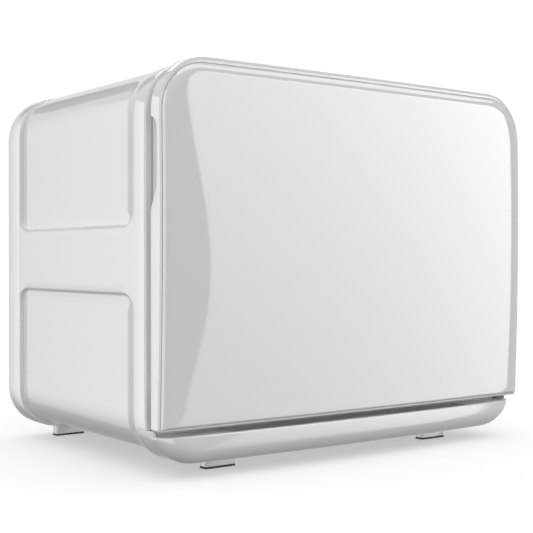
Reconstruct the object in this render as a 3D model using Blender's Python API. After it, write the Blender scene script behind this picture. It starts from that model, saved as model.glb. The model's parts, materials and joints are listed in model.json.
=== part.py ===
"""A landscape mini fridge with a thermoelectric cooling unit, modelled piece by piece.

Metres, +Z up. The door faces -Y and hangs on the right, at +X. The origin is on the floor,
under the middle of the cabinet.
"""

import math

import bmesh
import bpy

# Overall sizes
WIDTH = 0.520
DEPTH = 0.3765
TOP = 0.4235
UNDERSIDE = 0.0140
CORNER_TOP = 0.055
CORNER_LOW = 0.050
GAP = 0.0003
EDGE_BREAK = 0.0006

# Door shell
DOOR_LOW = 0.0512
DOOR_SIDE = 0.0142
DOOR_CORNER_LOW = 0.0035
CROWN_ACROSS = 0.0055
CROWN_UP = 0.0060
CROWN_PEAK = 0.575
LIP_SIDE = 0.0040
LIP_TOP = 0.0065
PANEL_WALL = 0.0030
PANEL_ROUND = 0.0030
PANEL_ROUND_DEPTH = 0.0022
RIM_ROUND = 0.001
DOOR_STEPS_ACROSS = 8
DOOR_STEPS_UP = 6
SEAL_GAP = 0.0109

# Door lining, seal and bins
DOOR_LINER_WALL = 0.0025
DYKE_MARGIN = 0.012
DYKE_HEIGHT = 0.0298
DYKE_WIDTH = 0.016
DYKE_DRAFT = 0.003
DYKE_ROUND = 0.003
LEAST_CORNER = 0.004
RECESS_DEPTH = 0.022
SEAL_WIDTH = 0.011
SEAL_INSET = 0.022
SEAL_LOW_MARGIN = 0.001
SEAL_CORNER_LOW = 0.010
SEAL_WAIST = 0.002
SEAL_EDGE = 0.001
DOOR_FOAM_SIDE_ROOM = 0.0175
DOOR_FOAM_MARGIN = 0.001
BIN_REACH = 0.056
BIN_WALL = 0.002
LOWER_BIN_HEIGHT = 0.055
UPPER_BIN_HEIGHT = 0.042
BIN_PITCH = 0.138
BIN_CORNER = 0.008
BIN_CLEARANCE = 0.0005
BIN_FLOOR_ROOM = 0.006

# Finger pull in the door's left edge
PULL_LOW = 0.267
PULL_HEIGHT = 0.092
PULL_LIP = 0.0029
PULL_DEPTH = 0.014
PULL_WALL = 0.006
PULL_CORNER = 0.007
PULL_SKIN = 0.0014

# Door hinge
HINGE_INSET = 0.012
HINGE_SETBACK = 0.0082
PIN_RADIUS = 0.0025
BORE_CLEARANCE = 0.00006
ARM_HALF = 0.003
ARM_THICK = 0.0022
ARM_DROP = 0.044
ARM_CLEARANCE = 0.0025
BLOCK_REACH = 0.0055
BLOCK_HEIGHT = 0.011
BRACKET_HEIGHT = 0.016
BRACKET_PLATE = 0.0016
PIN_HOLE_CLEARANCE = 0.0006
PIN_END_ROOM = 0.001
SLOT_FRONT_SKIN = 0.0002

# Cabinet
SHELL_WALL = 0.0025
PANEL_SINK = 0.0050
BAND_LOW = 0.187
BAND_HIGH = 0.2527
RECESS_EDGE = 0.004
RECESS_START = 0.064
RECESS_FRONT_TURN = 0.021
RECESS_BACK_TURN = 0.030
RECESS_CORNER_LIFT = 0.016
CORNER_MARGIN = 0.020
SHELL_ROUND = 0.002
FACE_LIP = 0.008
FACE_LIP_THICK = 0.003
RING_DEPTH = 0.0375
RING_WALL = 0.020
RING_SEAT = 0.014
RING_EDGE = 0.0008
RING_BACK_ROUND = 0.006
SIDE_WALL = 0.042
TOP_WALL = 0.0415
FLOOR_WALL = 0.056
BACK_WALL = 0.041
CAVITY_CORNER = 0.022
LINER_WALL = 0.0022
LINER_DRAFT = 0.002
LINER_MOUTH_ROUND = 0.003
LINER_FLOOR_ROUND = 0.006
PLATE_WALL = 0.0012
PLATE_INSET = 0.0025
LEDGE_WIDTH = 0.005
LEDGE_THICK = 0.004

# How far behind the door's edge the side panels sink in, with the upper and the lower panel's share
RECESS_RAMP = ((0.038, 0, 0), (0.045, 0.3, 0), (0.0545, 0.85, 0), (0.060, 1, 0.5))

# Bottom trim
CHIN_TOP = 0.0449
CHIN_BOW = 0.009
CHIN_ROUND = 0.020
CHIN_END_ROUND = 0.038
CHIN_END_SETBACK = 0.022
CHIN_END_MARGIN = 0.001
CHIN_EDGE = 0.0015
CHIN_EDGE_SHARE = 0.1
CHIN_ROUND_SHARE = 0.75
WING_TOP = 0.0507
WING_LENGTH = 0.0415
WING_WALL = 0.0028
WING_CLEARANCE = 0.0002
SLOT_HALF = 0.171
SLOT_DEPTH = 0.014
SLOT_LEAD = 0.001
SLOT_BACK_WALL = 0.002
GRILLE_WALL = 0.002
GRILLE_BARS = 36
GRILLE_MARGIN = 0.004

# Feet
FOOT_WIDTH = 0.038
FOOT_DEPTH = 0.012
PAD_THICK = 0.0016
PAD_OVERHANG = 0.0006
FRONT_FOOT_X = 0.158
FRONT_FOOT_SETBACK = 0.0485
REAR_FOOT_X = 0.189
REAR_FOOT_INSET = 0.025

# Shelf and lamp
SHELF_HEIGHT = 0.228
SPARE_LEDGE_HEIGHT = 0.150
SHELF_THICK = 0.004
SHELF_FRONT = 0.080
SHELF_BACK_ROOM = 0.008
SHELF_TRIM = 0.007
SHELF_TRIM_RISE = 0.004
SHELF_TRIM_BEVEL = 0.002
SHELF_SIDE_ROOM = 0.001
LAMP_HALF = 0.032
LAMP_SETBACK = 0.045
LAMP_DEPTH = 0.020
LENS_THICK = 0.006
LENS_INSET = 0.002
LAMP_BASE = 0.002

# Cooling unit
BLOCK_SIDE = 0.040
PELTIER_THICK = 0.004
THERMAL_HOLE = 0.052
SINK_BASE = 0.005
COLD_SINK_SIDE = 0.090
COLD_FIN = 0.016
COLD_FIN_COUNT = 15
HOT_SINK_SIDE = 0.130
HOT_FIN = 0.012
HOT_FIN_COUNT = 25
FIN_THICK = 0.0014
FAN_DEPTH = 0.010
COLD_FAN_SIDE = 0.080
HOT_FAN_SIDE = 0.092
FAN_RIM = 0.003
TIP_CLEARANCE = 0.0012
HUB_RADIUS = 0.015
SPIDER_THICK = 0.002
SPIDER_ARM = 0.0025
FAN_POINTS = 32
BLADE_COUNT = 7
BLADE_TWIST = 38.0
BLADE_ROOT = 0.10
BLADE_TIP = 0.045
COVER_HALF_WIDTH = 0.100
COVER_HALF_HEIGHT = 0.085
COVER_SHEET = 0.0022
COVER_CORNER = 0.012
COVER_ROUND = 0.003
INTAKE_PITCH = 0.008
INTAKE_ROWS = 9
OUTLET_COUNT = 6
OUTLET_BAR = 0.006
OUTLET_HEIGHT = 0.004
OUTLET_SIDE_MARGIN = 0.016
OUTLET_EDGE_MARGIN = 0.012

# Back of the cabinet
REAR_COVER_SINK = 0.0045
REAR_COVER_WALL = 0.003
VENT_ROWS = 13
VENT_COLUMNS = 4
VENT_PITCH = 0.012
VENT_HEIGHT = 0.005
VENT_LENGTH = 0.040
VENT_SPACING = 0.050
SCREW_HEAD = 0.0026
SCREW_SHANK = 0.0015
SCREW_HEAD_HEIGHT = 0.002
SCREW_LENGTH = 0.010
SCREW_SPREAD = 0.100
SCREW_POINTS = 12
SCREW_CROWN = 0.6
POD_X = -0.130
POD_WIDTH = 0.112
POD_HEIGHT = 0.046
POD_LIFT = 0.052
POD_DEPTH = 0.014
POD_WALL = 0.002
INLET_WIDTH = 0.030
INLET_HEIGHT = 0.024
INLET_SOCKET_WIDTH = 0.022
INLET_SOCKET_HEIGHT = 0.015
INLET_SOCKET_DEPTH = 0.010
INLET_BODY = 0.014
INLET_SHIFT = -0.035
INLET_PROUD = 0.002
SWITCH_WIDTH = 0.014
SWITCH_HEIGHT = 0.022
SWITCH_RIM = 0.002
SWITCH_PROUD = 0.0025
SWITCH_BODY = 0.008
ROCKER_GAP = 0.0010
ROCKER_PIVOT_LIFT = 0.0045
ROCKER_ROOT = 0.0015
ROCKER_ROOT_HALF = 0.004
ROCKER_SHOULDER = 0.003
ROCKER_CREST = 0.0022
ROCKER_DISH = 0.0018
KNOB_SHIFT = 0.034
KNOB_RADIUS = 0.012
KNOB_HEIGHT = 0.009
KNOB_TAPER = 0.93
KNOB_CROWN = 0.85
SHAFT_RADIUS = 0.003
SHAFT_REACH = 0.003
KNOB_EDGE = 0.001
THERMOSTAT_DEPTH = 0.011
THERMOSTAT_BORE = 0.005
BOARD_X = 0.130
BOARD_WIDTH = 0.100
BOARD_HEIGHT = 0.056
BOARD_THICK = 0.0016
BOARD_LIFT = 0.004
TRANSFORMER_SIDE = 0.030
TRANSFORMER_HEIGHT = 0.018
TRANSFORMER_INSET = 0.014
TRANSFORMER_LIFT = 0.012
POST_MARGIN = 0.006
POST_RADIUS = 0.003
CAN_INSET = 0.022
CAN_RADIUS = 0.008
CAN_HEIGHT = 0.016

# Stations along Y
FRONT = -DEPTH / 2
BACK = DEPTH / 2
DOOR_EDGE = FRONT + CROWN_ACROSS + CROWN_UP
DOOR_BACK = DOOR_EDGE + DOOR_SIDE
FACE = DOOR_BACK + SEAL_GAP
RING_FRONT = BACK - RING_DEPTH
SHELL_BACK = RING_FRONT - GAP
PLATE_BACK = SHELL_BACK - PLATE_INSET
PLATE_FRONT = PLATE_BACK - PLATE_WALL
FOAM_BACK = PLATE_FRONT - GAP
CAVITY_BACK = FOAM_BACK - BACK_WALL
COVER_BACK = BACK - REAR_COVER_SINK
COVER_FRONT = COVER_BACK - REAR_COVER_WALL
HOT_BASE = PLATE_BACK + GAP
PELTIER_FRONT = HOT_BASE - GAP - PELTIER_THICK
COLD_BASE = CAVITY_BACK - GAP
COLD_FIN_TIP = COLD_BASE - SINK_BASE - COLD_FIN
COLD_FAN_BACK = COLD_FIN_TIP - GAP
COLD_FAN_FRONT = COLD_FAN_BACK - FAN_DEPTH
INNER_COVER_FRONT = COLD_FAN_FRONT - GAP - COVER_SHEET
HOT_FIN_TIP = HOT_BASE + SINK_BASE + HOT_FIN
HOT_FAN_FRONT = HOT_FIN_TIP + GAP
HOT_FAN_BACK = HOT_FAN_FRONT + FAN_DEPTH
SLOT_FRONT = DOOR_EDGE - SLOT_LEAD
SLOT_BACK = FACE - SLOT_BACK_WALL

# Places across and up
HALF = WIDTH / 2
CAVITY_HALF = HALF - SIDE_WALL
CAVITY_LOW = UNDERSIDE + FLOOR_WALL
CAVITY_TOP = TOP - TOP_WALL
CENTRE_Z = (CAVITY_LOW + CAVITY_TOP) / 2
CROWN_Z = DOOR_LOW + CROWN_PEAK * (TOP - DOOR_LOW)
LIP_LOW = LIP_SIDE
HINGE_X = HALF - HINGE_INSET
HINGE_Y = DOOR_EDGE + HINGE_SETBACK
ARM_TOP_Z = TOP - ARM_DROP
BRACKET_LOW_Z = CHIN_TOP + (DOOR_LOW - CHIN_TOP - ARM_THICK) / 2
BLOCK_TOP_HIGH = ARM_TOP_Z - ARM_CLEARANCE
BLOCK_LOW_HIGH = DOOR_LOW + LIP_LOW + GAP + BLOCK_HEIGHT

WHITE = (0.83, 0.84, 0.85)
LINER_WHITE = (0.86, 0.88, 0.90)
GREY = (0.20, 0.21, 0.22)
BLACK = (0.02, 0.02, 0.02)
STEEL = (0.62, 0.63, 0.65)
ALUMINIUM = (0.75, 0.76, 0.78)
FOAM = (0.85, 0.78, 0.55)
NYLON = (0.90, 0.90, 0.88)
DARK = (0.05, 0.05, 0.055)
BOARD_GREEN = (0.05, 0.25, 0.10)
COPPER = (0.72, 0.45, 0.20)
GLASS = (0.75, 0.85, 0.82)
CLEAR = (0.88, 0.91, 0.93)
SEAL_GREY = (0.75, 0.76, 0.77)

EMPTY_SIZE = 0.03
SHARP_ANGLE = 35


def clear_scene():
    """Remove every object so that the model starts from nothing."""
    for old in list(bpy.data.objects):
        bpy.data.objects.remove(old, do_unlink=True)


def finish(name, colour, roughness, metallic, alpha):
    """The Principled material of one piece."""
    material = bpy.data.materials.new(name + "_finish")
    material.use_nodes = True
    shader = material.node_tree.nodes["Principled BSDF"]
    shader.inputs["Base Color"].default_value = (*colour, 1.0)
    shader.inputs["Roughness"].default_value = roughness
    shader.inputs["Metallic"].default_value = metallic
    shader.inputs["Alpha"].default_value = alpha
    return material


def piece(name, bm, colour, roughness=0.3, metallic=0.0, alpha=1.0, pivot=(0, 0, 0), parent=None):
    """Make one named piece from a closed bmesh in world coordinates, its origin on its pivot."""
    bmesh.ops.recalc_face_normals(bm, faces=bm.faces)
    bmesh.ops.translate(bm, verts=bm.verts, vec=[-value for value in pivot])
    mesh = bpy.data.meshes.new(name)
    bm.to_mesh(mesh)
    bm.free()
    obj = bpy.data.objects.new(name, mesh)
    bpy.context.scene.collection.objects.link(obj)
    if parent is None:
        obj.location = pivot
    else:
        obj.parent = parent
    mesh.materials.append(finish(name, colour, roughness, metallic, alpha))
    mesh.shade_smooth()
    mesh.set_sharp_from_angle(angle=math.radians(SHARP_ANGLE))
    return obj


def axis_empty(name, place):
    """An empty on a joint's axis, which the pieces that turn together hang from."""
    empty = bpy.data.objects.new(name, None)
    empty.location = place
    empty.empty_display_size = EMPTY_SIZE
    bpy.context.scene.collection.objects.link(empty)
    return empty


def helper(name, bm):
    """A hidden closed shape for a Boolean."""
    bmesh.ops.recalc_face_normals(bm, faces=bm.faces)
    mesh = bpy.data.meshes.new(name)
    bm.to_mesh(mesh)
    bm.free()
    obj = bpy.data.objects.new(name, mesh)
    obj.hide_render = True
    obj.display_type = "WIRE"
    bpy.context.scene.collection.objects.link(obj)
    return obj


def combine(obj, other, operation="DIFFERENCE"):
    """Cut a helper from a piece, or join it on."""
    modifier = obj.modifiers.new(other.name, "BOOLEAN")
    modifier.operation = operation
    modifier.object = other


def loft(rings, closed=False, bm=None):
    """Skin rings of equally many points. Its two ends are capped, unless the rings close on themselves."""
    bm = bm or bmesh.new()
    rows = [[bm.verts.new(point) for point in ring] for ring in rings]
    pairs = list(zip(rows, rows[1:]))
    if closed:
        pairs.append((rows[-1], rows[0]))
    for first, second in pairs:
        for i in range(len(first)):
            j = (i + 1) % len(first)
            bm.faces.new((first[i], first[j], second[j], second[i]))
    if not closed:
        bm.faces.new(rows[0])
        bm.faces.new(rows[-1])
    return bm


def box(low, high, bm=None):
    """A closed box between two corners."""
    corners = ((low[0], low[1]), (high[0], low[1]), (high[0], high[1]), (low[0], high[1]))
    return loft([[(x, y, z) for x, y in corners] for z in (low[2], high[2])], bm=bm)


def prism(points, axis, low, high, bm=None):
    """A flat outline pushed along one axis. Its two numbers are the other two axes, in X, Y, Z order."""
    def place(point, along):
        values = list(point)
        values.insert("XYZ".index(axis), along)
        return tuple(values)
    return loft([[place(point, along) for point in points] for along in (low, high)], bm=bm)


def circle(centre, radius, count, start=0.0):
    """Points round a circle in a plane."""
    angles = [start + 2 * math.pi * i / count for i in range(count)]
    return [(centre[0] + radius * math.cos(a), centre[1] + radius * math.sin(a)) for a in angles]


def spread(low, high, count):
    """Evenly spaced values between two ends, without the ends."""
    return [low + (high - low) * i / count for i in range(1, count)]


def outline(half, low, high, r_low, r_high, arc=6, across=1, heights=()):
    """A rectangle with round corners, in X and Z. Heights are extra points up both sides."""
    points = []

    def corner(x, z, radius, start):
        for i in range(arc + 1):
            angle = math.radians(start + 90 * i / arc)
            points.append((x + radius * math.cos(angle), z + radius * math.sin(angle)))

    points.extend((half, z) for z in heights)
    corner(half - r_high, high - r_high, r_high, 0)
    points.extend((x, high) for x in spread(half - r_high, r_high - half, across))
    corner(r_high - half, high - r_high, r_high, 90)
    points.extend((-half, z) for z in reversed(heights))
    corner(r_low - half, low + r_low, r_low, 180)
    points.extend((x, low) for x in spread(r_low - half, half - r_low, across))
    corner(half - r_low, low + r_low, r_low, 270)
    return points


def at(points, y):
    """The points of an outline in one plane across Y."""
    return [(x, y, z) for x, z in points]


def door_front(x, z):
    """Where the pillowed front of the door lies."""
    across = CROWN_ACROSS * (1 - (x / HALF) ** 2)
    up = CROWN_UP * (1 - ((z - CROWN_Z) / (CROWN_Z - DOOR_LOW)) ** 2)
    return DOOR_EDGE - across - up


def on_front(points, behind):
    """The points of an outline, a distance behind the pillowed front."""
    return [(x, door_front(x, z) + behind, z) for x, z in points]


def scaled(points, factor):
    """An outline drawn in towards the middle of the door."""
    return [(x * factor, CROWN_Z + (z - CROWN_Z) * factor) for x, z in points]


def cabinet_outline(inset, heights=(), arc=8):
    """The cabinet's round-cornered section, drawn in all round."""
    return outline(
        HALF - inset, UNDERSIDE + inset, TOP - inset, CORNER_LOW - inset, CORNER_TOP - inset,
        arc=arc, heights=heights,
    )


def cavity_outline(grow, arc=5):
    """The cold space's section, grown by a wall."""
    radius = max(CAVITY_CORNER + grow, LEAST_CORNER)
    return outline(
        CAVITY_HALF + grow, CAVITY_LOW - grow, CAVITY_TOP + grow, radius, radius, arc=arc,
    )


def door_outline(side, low, top, arc=6):
    """The door's section, drawn in by its own margin at the sides, the bottom and the top."""
    bottom = DOOR_LOW + low
    crest = TOP - top
    r_top = CORNER_TOP - (side + top) / 2
    r_low = max(DOOR_CORNER_LOW - side, GAP)
    heights = spread(bottom + r_low, crest - r_top, DOOR_STEPS_UP)
    return outline(HALF - side, bottom, crest, r_low, r_top, arc, DOOR_STEPS_ACROSS, heights)


def round_inset(radius):
    """How far in from both faces the middle of a quarter round lies."""
    return radius * (1 - math.cos(math.pi / 4))


def shell_ring(y, upper_ramp, lower_ramp, lift, inset=0.0):
    """One section of the outer shell. Above and below the band it sinks in, as far as the two ramps say."""
    low_mark = BAND_LOW - lift
    high_mark = BAND_HIGH + lift
    heights = [
        UNDERSIDE + CORNER_LOW + CORNER_MARGIN, low_mark - RECESS_EDGE, low_mark,
        (low_mark + high_mark) / 2, high_mark, high_mark + RECESS_EDGE,
        TOP - CORNER_TOP - CORNER_MARGIN,
    ]
    ring = []
    full = cabinet_outline(inset, heights)
    sunk = cabinet_outline(inset + PANEL_SINK, heights)
    for (x, z), (inner_x, inner_z) in zip(full, sunk):
        if z <= low_mark - RECESS_EDGE / 2:
            share = lower_ramp
        elif z >= high_mark + RECESS_EDGE / 2:
            share = upper_ramp
        else:
            share = 0.0
        ring.append((x + (inner_x - x) * share, y, z + (inner_z - z) * share))
    return ring


def make_outer_shell():
    """A tube with a band along each side between two sunk panels, and a lip turned in at the front."""
    rings = [
        shell_ring(FACE, 0, 0, RECESS_CORNER_LIFT, inset=SHELL_ROUND),
        shell_ring(FACE + EDGE_BREAK, 0, 0, RECESS_CORNER_LIFT, inset=EDGE_BREAK),
        shell_ring(FACE + SHELL_ROUND, 0, 0, RECESS_CORNER_LIFT),
    ]
    for start, upper, lower in RECESS_RAMP:
        rings.append(shell_ring(DOOR_EDGE + start, upper, lower, RECESS_CORNER_LIFT))
    for step in range(1, 5):
        turn = step / 4
        lift = RECESS_CORNER_LIFT * (1 - math.sqrt(1 - (1 - turn) ** 2))
        rings.append(shell_ring(DOOR_EDGE + RECESS_START + RECESS_FRONT_TURN * turn, 1, 1, lift))
    for step in range(5):
        turn = step / 4
        lift = RECESS_CORNER_LIFT * (1 - math.sqrt(1 - turn ** 2))
        rings.append(shell_ring(SHELL_BACK - RECESS_BACK_TURN * (1 - turn), 1, 1, lift))
    wall = PANEL_SINK + SHELL_WALL
    inner = [(x, z) for x, _, z in shell_ring(SHELL_BACK, 0, 0, RECESS_CORNER_LIFT, inset=wall)]
    mouth = [(x, z) for x, _, z in shell_ring(FACE, 0, 0, RECESS_CORNER_LIFT, inset=FACE_LIP)]
    rings.append(at(inner, SHELL_BACK))
    rings.append(at(inner, FACE + FACE_LIP_THICK))
    rings.append(at(mouth, FACE + FACE_LIP_THICK))
    rings.append(at(mouth, FACE))
    shell = piece("outer_shell", loft(rings, closed=True), WHITE, 0.22)
    notch = box(
        (-WIDTH, FRONT, 0), (WIDTH, DOOR_EDGE + WING_LENGTH + GAP, WING_TOP + GAP),
    )
    combine(shell, helper("chin_notch", notch))
    return shell


def make_rear_ring():
    """The frame round the back, standing proud of the sunk panels."""
    seat = COVER_FRONT - GAP
    middle = round_inset(RING_BACK_ROUND)
    rings = [
        at(cabinet_outline(RING_EDGE), RING_FRONT),
        at(cabinet_outline(0), RING_FRONT + RING_EDGE),
        at(cabinet_outline(0), BACK - RING_BACK_ROUND),
        at(cabinet_outline(middle), BACK - middle),
        at(cabinet_outline(RING_BACK_ROUND), BACK),
        at(cabinet_outline(RING_SEAT), BACK),
        at(cabinet_outline(RING_SEAT), seat),
        at(cabinet_outline(RING_WALL), seat),
        at(cabinet_outline(RING_WALL), RING_FRONT),
    ]
    ring = piece("rear_ring", loft(rings, closed=True), WHITE, 0.22)
    holes = bmesh.new()
    for x, z in rear_screw_places():
        prism(circle((x, z), SCREW_SHANK + GAP, 8), "Y", seat - SCREW_LENGTH, BACK + GAP, holes)
    combine(ring, helper("ring_pilot_holes", holes))


def rear_screw_places():
    """The rear cover's six screws, along the middle of the ring's ledge."""
    inset = (RING_SEAT + RING_WALL) / 2
    side = HALF - inset
    heights = (CENTRE_Z - SCREW_SPREAD, CENTRE_Z, CENTRE_Z + SCREW_SPREAD)
    return [(x, z) for x in (-side, side) for z in heights]


def make_inner_liner():
    """The moulded cold space with its flange, shelf ledges and a window for the cooling block."""
    flange = FACE_LIP + GAP
    mouth_middle = round_inset(LINER_MOUTH_ROUND)
    rings = [
        at(cavity_outline(LINER_WALL - LINER_DRAFT - LINER_FLOOR_ROUND), CAVITY_BACK + LINER_WALL),
        at(cavity_outline(LINER_WALL - LINER_DRAFT), CAVITY_BACK - LINER_FLOOR_ROUND),
        at(cavity_outline(LINER_WALL), FACE + LINER_WALL),
        at(cabinet_outline(flange, arc=5), FACE + LINER_WALL),
        at(cabinet_outline(flange, arc=5), FACE),
        at(cavity_outline(LINER_MOUTH_ROUND), FACE),
        at(cavity_outline(mouth_middle), FACE + mouth_middle),
        at(cavity_outline(0), FACE + LINER_MOUTH_ROUND),
        at(cavity_outline(-LINER_DRAFT), CAVITY_BACK - LINER_FLOOR_ROUND),
        at(cavity_outline(-LINER_DRAFT - LINER_FLOOR_ROUND), CAVITY_BACK),
    ]
    liner = piece("inner_liner", loft(rings), LINER_WHITE, 0.35)
    ledges = bmesh.new()
    for height in (SHELF_HEIGHT, SPARE_LEDGE_HEIGHT):
        top = height - GAP
        for side in (-1, 1):
            ends = sorted((side * (CAVITY_HALF + LINER_WALL / 4), side * (CAVITY_HALF - LEDGE_WIDTH)))
            box(
                (ends[0], FACE + SHELF_FRONT, top - LEDGE_THICK),
                (ends[1], CAVITY_BACK - 2 * LINER_FLOOR_ROUND, top), ledges,
            )
    combine(liner, helper("shelf_ledges", ledges), "UNION")
    combine(liner, thermal_window("liner_window"))


def thermal_window(name):
    """A square hole through the back wall for the cooling block."""
    half = THERMAL_HOLE / 2
    return helper(name, box(
        (-half, COLD_BASE - SINK_BASE, CENTRE_Z - half), (half, HOT_BASE, CENTRE_Z + half),
    ))


def make_insulation():
    """Foam between the shell and the liner, with a steel sheet behind it."""
    grow = LINER_WALL + GAP
    outside = PANEL_SINK + SHELL_WALL + GAP
    start = FACE + FACE_LIP_THICK + GAP
    rings = [
        at(cabinet_outline(outside, arc=5), FOAM_BACK),
        at(cabinet_outline(outside, arc=5), start),
        at(cavity_outline(grow), start),
        at(cavity_outline(grow), CAVITY_BACK + grow),
    ]
    foam = piece("foam_insulation", loft(rings), FOAM, 0.9)
    combine(foam, thermal_window("foam_window"))
    plate_outline = cabinet_outline(outside, arc=5)
    plate = piece("back_plate", loft([at(plate_outline, PLATE_FRONT), at(plate_outline, PLATE_BACK)]),
                  STEEL, 0.4, 1.0)
    combine(plate, thermal_window("plate_window"))


def chin_section(x):
    """The bottom trim's section at one place across: a flat top, an upright front and a round underside."""
    beyond = max(abs(x) - (HALF - CORNER_LOW), 0.0)
    low = UNDERSIDE + CORNER_LOW - math.sqrt(CORNER_LOW ** 2 - beyond ** 2)
    start = HALF - CHIN_END_ROUND
    turn = min(max(abs(x) - start, 0.0) / CHIN_END_ROUND, 1.0)
    front = DOOR_EDGE - CHIN_BOW * (1 - (x / HALF) ** 2)
    front += CHIN_END_SETBACK * (1 - math.sqrt(1 - turn ** 2))
    height = CHIN_TOP - low
    radius = min(CHIN_ROUND, CHIN_ROUND_SHARE * height)
    edge = min(CHIN_EDGE, CHIN_EDGE_SHARE * height)
    back = FACE - GAP
    points = [(back, CHIN_TOP), (back, low)]
    for i in range(7):
        angle = math.radians(90 * i / 6)
        points.append((front + radius * (1 - math.sin(angle)), low + radius * (1 - math.cos(angle))))
    points.append((front, CHIN_TOP - edge))
    points.append((front + edge, CHIN_TOP))
    return [(x, y, z) for y, z in points]


def make_chin():
    """The bottom trim: a bowed front bar with two wings that wrap the cabinet's lower corners."""
    rise = UNDERSIDE + CORNER_LOW - CHIN_TOP
    reach = HALF - CORNER_LOW + math.sqrt(CORNER_LOW ** 2 - rise ** 2) - CHIN_END_MARGIN
    steps = 9
    stations = [i * (HALF - CHIN_END_ROUND) / steps for i in range(steps + 1)]
    turn_start = stations[-1]
    for step in range(1, 7):
        stations.append(turn_start + (reach - turn_start) * math.sin(step * math.pi / 12))
    places = [-x for x in reversed(stations[1:])] + stations
    chin = piece("chin_trim", loft([chin_section(x) for x in places]), WHITE, 0.2)
    start = DOOR_BACK + GAP
    end = DOOR_EDGE + WING_LENGTH
    wing = loft([
        at(cabinet_outline(WING_CLEARANCE), start), at(cabinet_outline(WING_CLEARANCE), end),
        at(cabinet_outline(WING_WALL), end), at(cabinet_outline(WING_WALL), start),
    ], closed=True)
    wing_piece = helper("chin_wings", wing)
    above = helper("above_wings", box((-WIDTH, FRONT, WING_TOP), (WIDTH, BACK, TOP + UNDERSIDE)))
    combine(wing_piece, above)
    combine(chin, wing_piece, "UNION")
    slot = box(
        (-SLOT_HALF, SLOT_FRONT, CHIN_TOP - SLOT_DEPTH),
        (SLOT_HALF, SLOT_BACK, CHIN_TOP + SLOT_DEPTH),
    )
    combine(chin, helper("intake_slot", slot))


def make_intake_grille():
    """A slotted strip on the floor of the slot behind the door's lower edge."""
    low = CHIN_TOP - SLOT_DEPTH + GAP
    front = SLOT_FRONT + GAP
    back = SLOT_BACK - GAP
    half = SLOT_HALF - GAP
    grille = piece("intake_grille", box((-half, front, low), (half, back, low + GRILLE_WALL)), GREY, 0.5)
    pitch = 2 * half / GRILLE_BARS
    slots = bmesh.new()
    for i in range(1, GRILLE_BARS):
        middle = -half + i * pitch
        box(
            (middle - pitch / 4, front + GRILLE_MARGIN, low - GAP),
            (middle + pitch / 4, back - GRILLE_MARGIN, low + GRILLE_WALL + GAP), slots,
        )
    combine(grille, helper("grille_slots", slots))


def make_feet():
    """Four blocks under the corners, each on a rubber pad."""
    front_y = DOOR_EDGE + FRONT_FOOT_SETBACK
    rear_y = BACK - REAR_FOOT_INSET
    places = {
        "front_left": (-FRONT_FOOT_X, front_y), "front_right": (FRONT_FOOT_X, front_y),
        "rear_left": (-REAR_FOOT_X, rear_y), "rear_right": (REAR_FOOT_X, rear_y),
    }
    for place, (x, y) in places.items():
        half_x = FOOT_WIDTH / 2
        half_y = FOOT_DEPTH / 2
        foot = box(
            (x - half_x, y - half_y, PAD_THICK + GAP), (x + half_x, y + half_y, UNDERSIDE - GAP),
        )
        piece("foot_" + place, foot, WHITE, 0.4)
        grow = PAD_OVERHANG
        pad = box(
            (x - half_x - grow, y - half_y - grow, 0), (x + half_x + grow, y + half_y + grow, PAD_THICK),
        )
        piece("foot_pad_" + place, pad, BLACK, 0.8)


def make_shelf():
    """A glass shelf on the upper pair of ledges, with a trim along its front."""
    half = CAVITY_HALF - LINER_DRAFT - SHELF_SIDE_ROOM
    front = FACE + SHELF_FRONT
    back = INNER_COVER_FRONT - SHELF_BACK_ROOM
    glass = box(
        (-half, front + SHELF_TRIM + GAP, SHELF_HEIGHT), (half, back, SHELF_HEIGHT + SHELF_THICK),
    )
    piece("shelf_glass", glass, GLASS, 0.05, alpha=0.4)
    low = SHELF_HEIGHT
    high = SHELF_HEIGHT + SHELF_THICK + SHELF_TRIM_RISE
    bevel = SHELF_TRIM_BEVEL
    profile = [
        (front, low), (front + SHELF_TRIM, low), (front + SHELF_TRIM, high - bevel),
        (front + SHELF_TRIM - bevel, high), (front + bevel, high), (front, high - bevel),
    ]
    piece("shelf_trim", prism(profile, "X", -half, half), WHITE, 0.3)


def make_lamp():
    """A lamp base and its lens under the ceiling of the cold space."""
    start = FACE + LAMP_SETBACK
    top = CAVITY_TOP - LINER_DRAFT / 2 - GAP
    base = box(
        (-LAMP_HALF, start, top - LAMP_BASE), (LAMP_HALF, start + LAMP_DEPTH, top),
    )
    piece("lamp_base", base, WHITE, 0.4)
    under = top - LAMP_BASE - GAP
    inset = LENS_INSET
    profile = [
        (start + inset, under), (start + 2 * inset, under - LENS_THICK),
        (start + LAMP_DEPTH - 2 * inset, under - LENS_THICK), (start + LAMP_DEPTH - inset, under),
    ]
    lens = prism(profile, "X", inset - LAMP_HALF, LAMP_HALF - inset)
    piece("lamp_lens", lens, CLEAR, 0.3, alpha=0.7)


def heat_sink(name, side, base_y, direction, fin_height, count):
    """A finned aluminium plate. The fins point along Y, towards +1 or -1."""
    half = side / 2
    base = base_y + direction * SINK_BASE
    tip = base + direction * fin_height
    points = [(-half, base_y)]
    pitch = (side - FIN_THICK) / (count - 1)
    for i in range(count):
        left = -half + i * pitch
        if i:
            points.append((left, base))
        points.append((left, tip))
        points.append((left + FIN_THICK, tip))
        if i < count - 1:
            points.append((left + FIN_THICK, base))
    points.append((half, base_y))
    bm = prism(points, "Z", CENTRE_Z - half, CENTRE_Z + half)
    piece(name, bm, ALUMINIUM, 0.35, 1.0)


def square_points(half, count):
    """Points round a square, in the same directions as the points of a circle."""
    points = []
    for x, z in circle((0, 0), 1.0, count, math.pi / count):
        reach = half / max(abs(x), abs(z))
        points.append((x * reach, z * reach))
    return points


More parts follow.
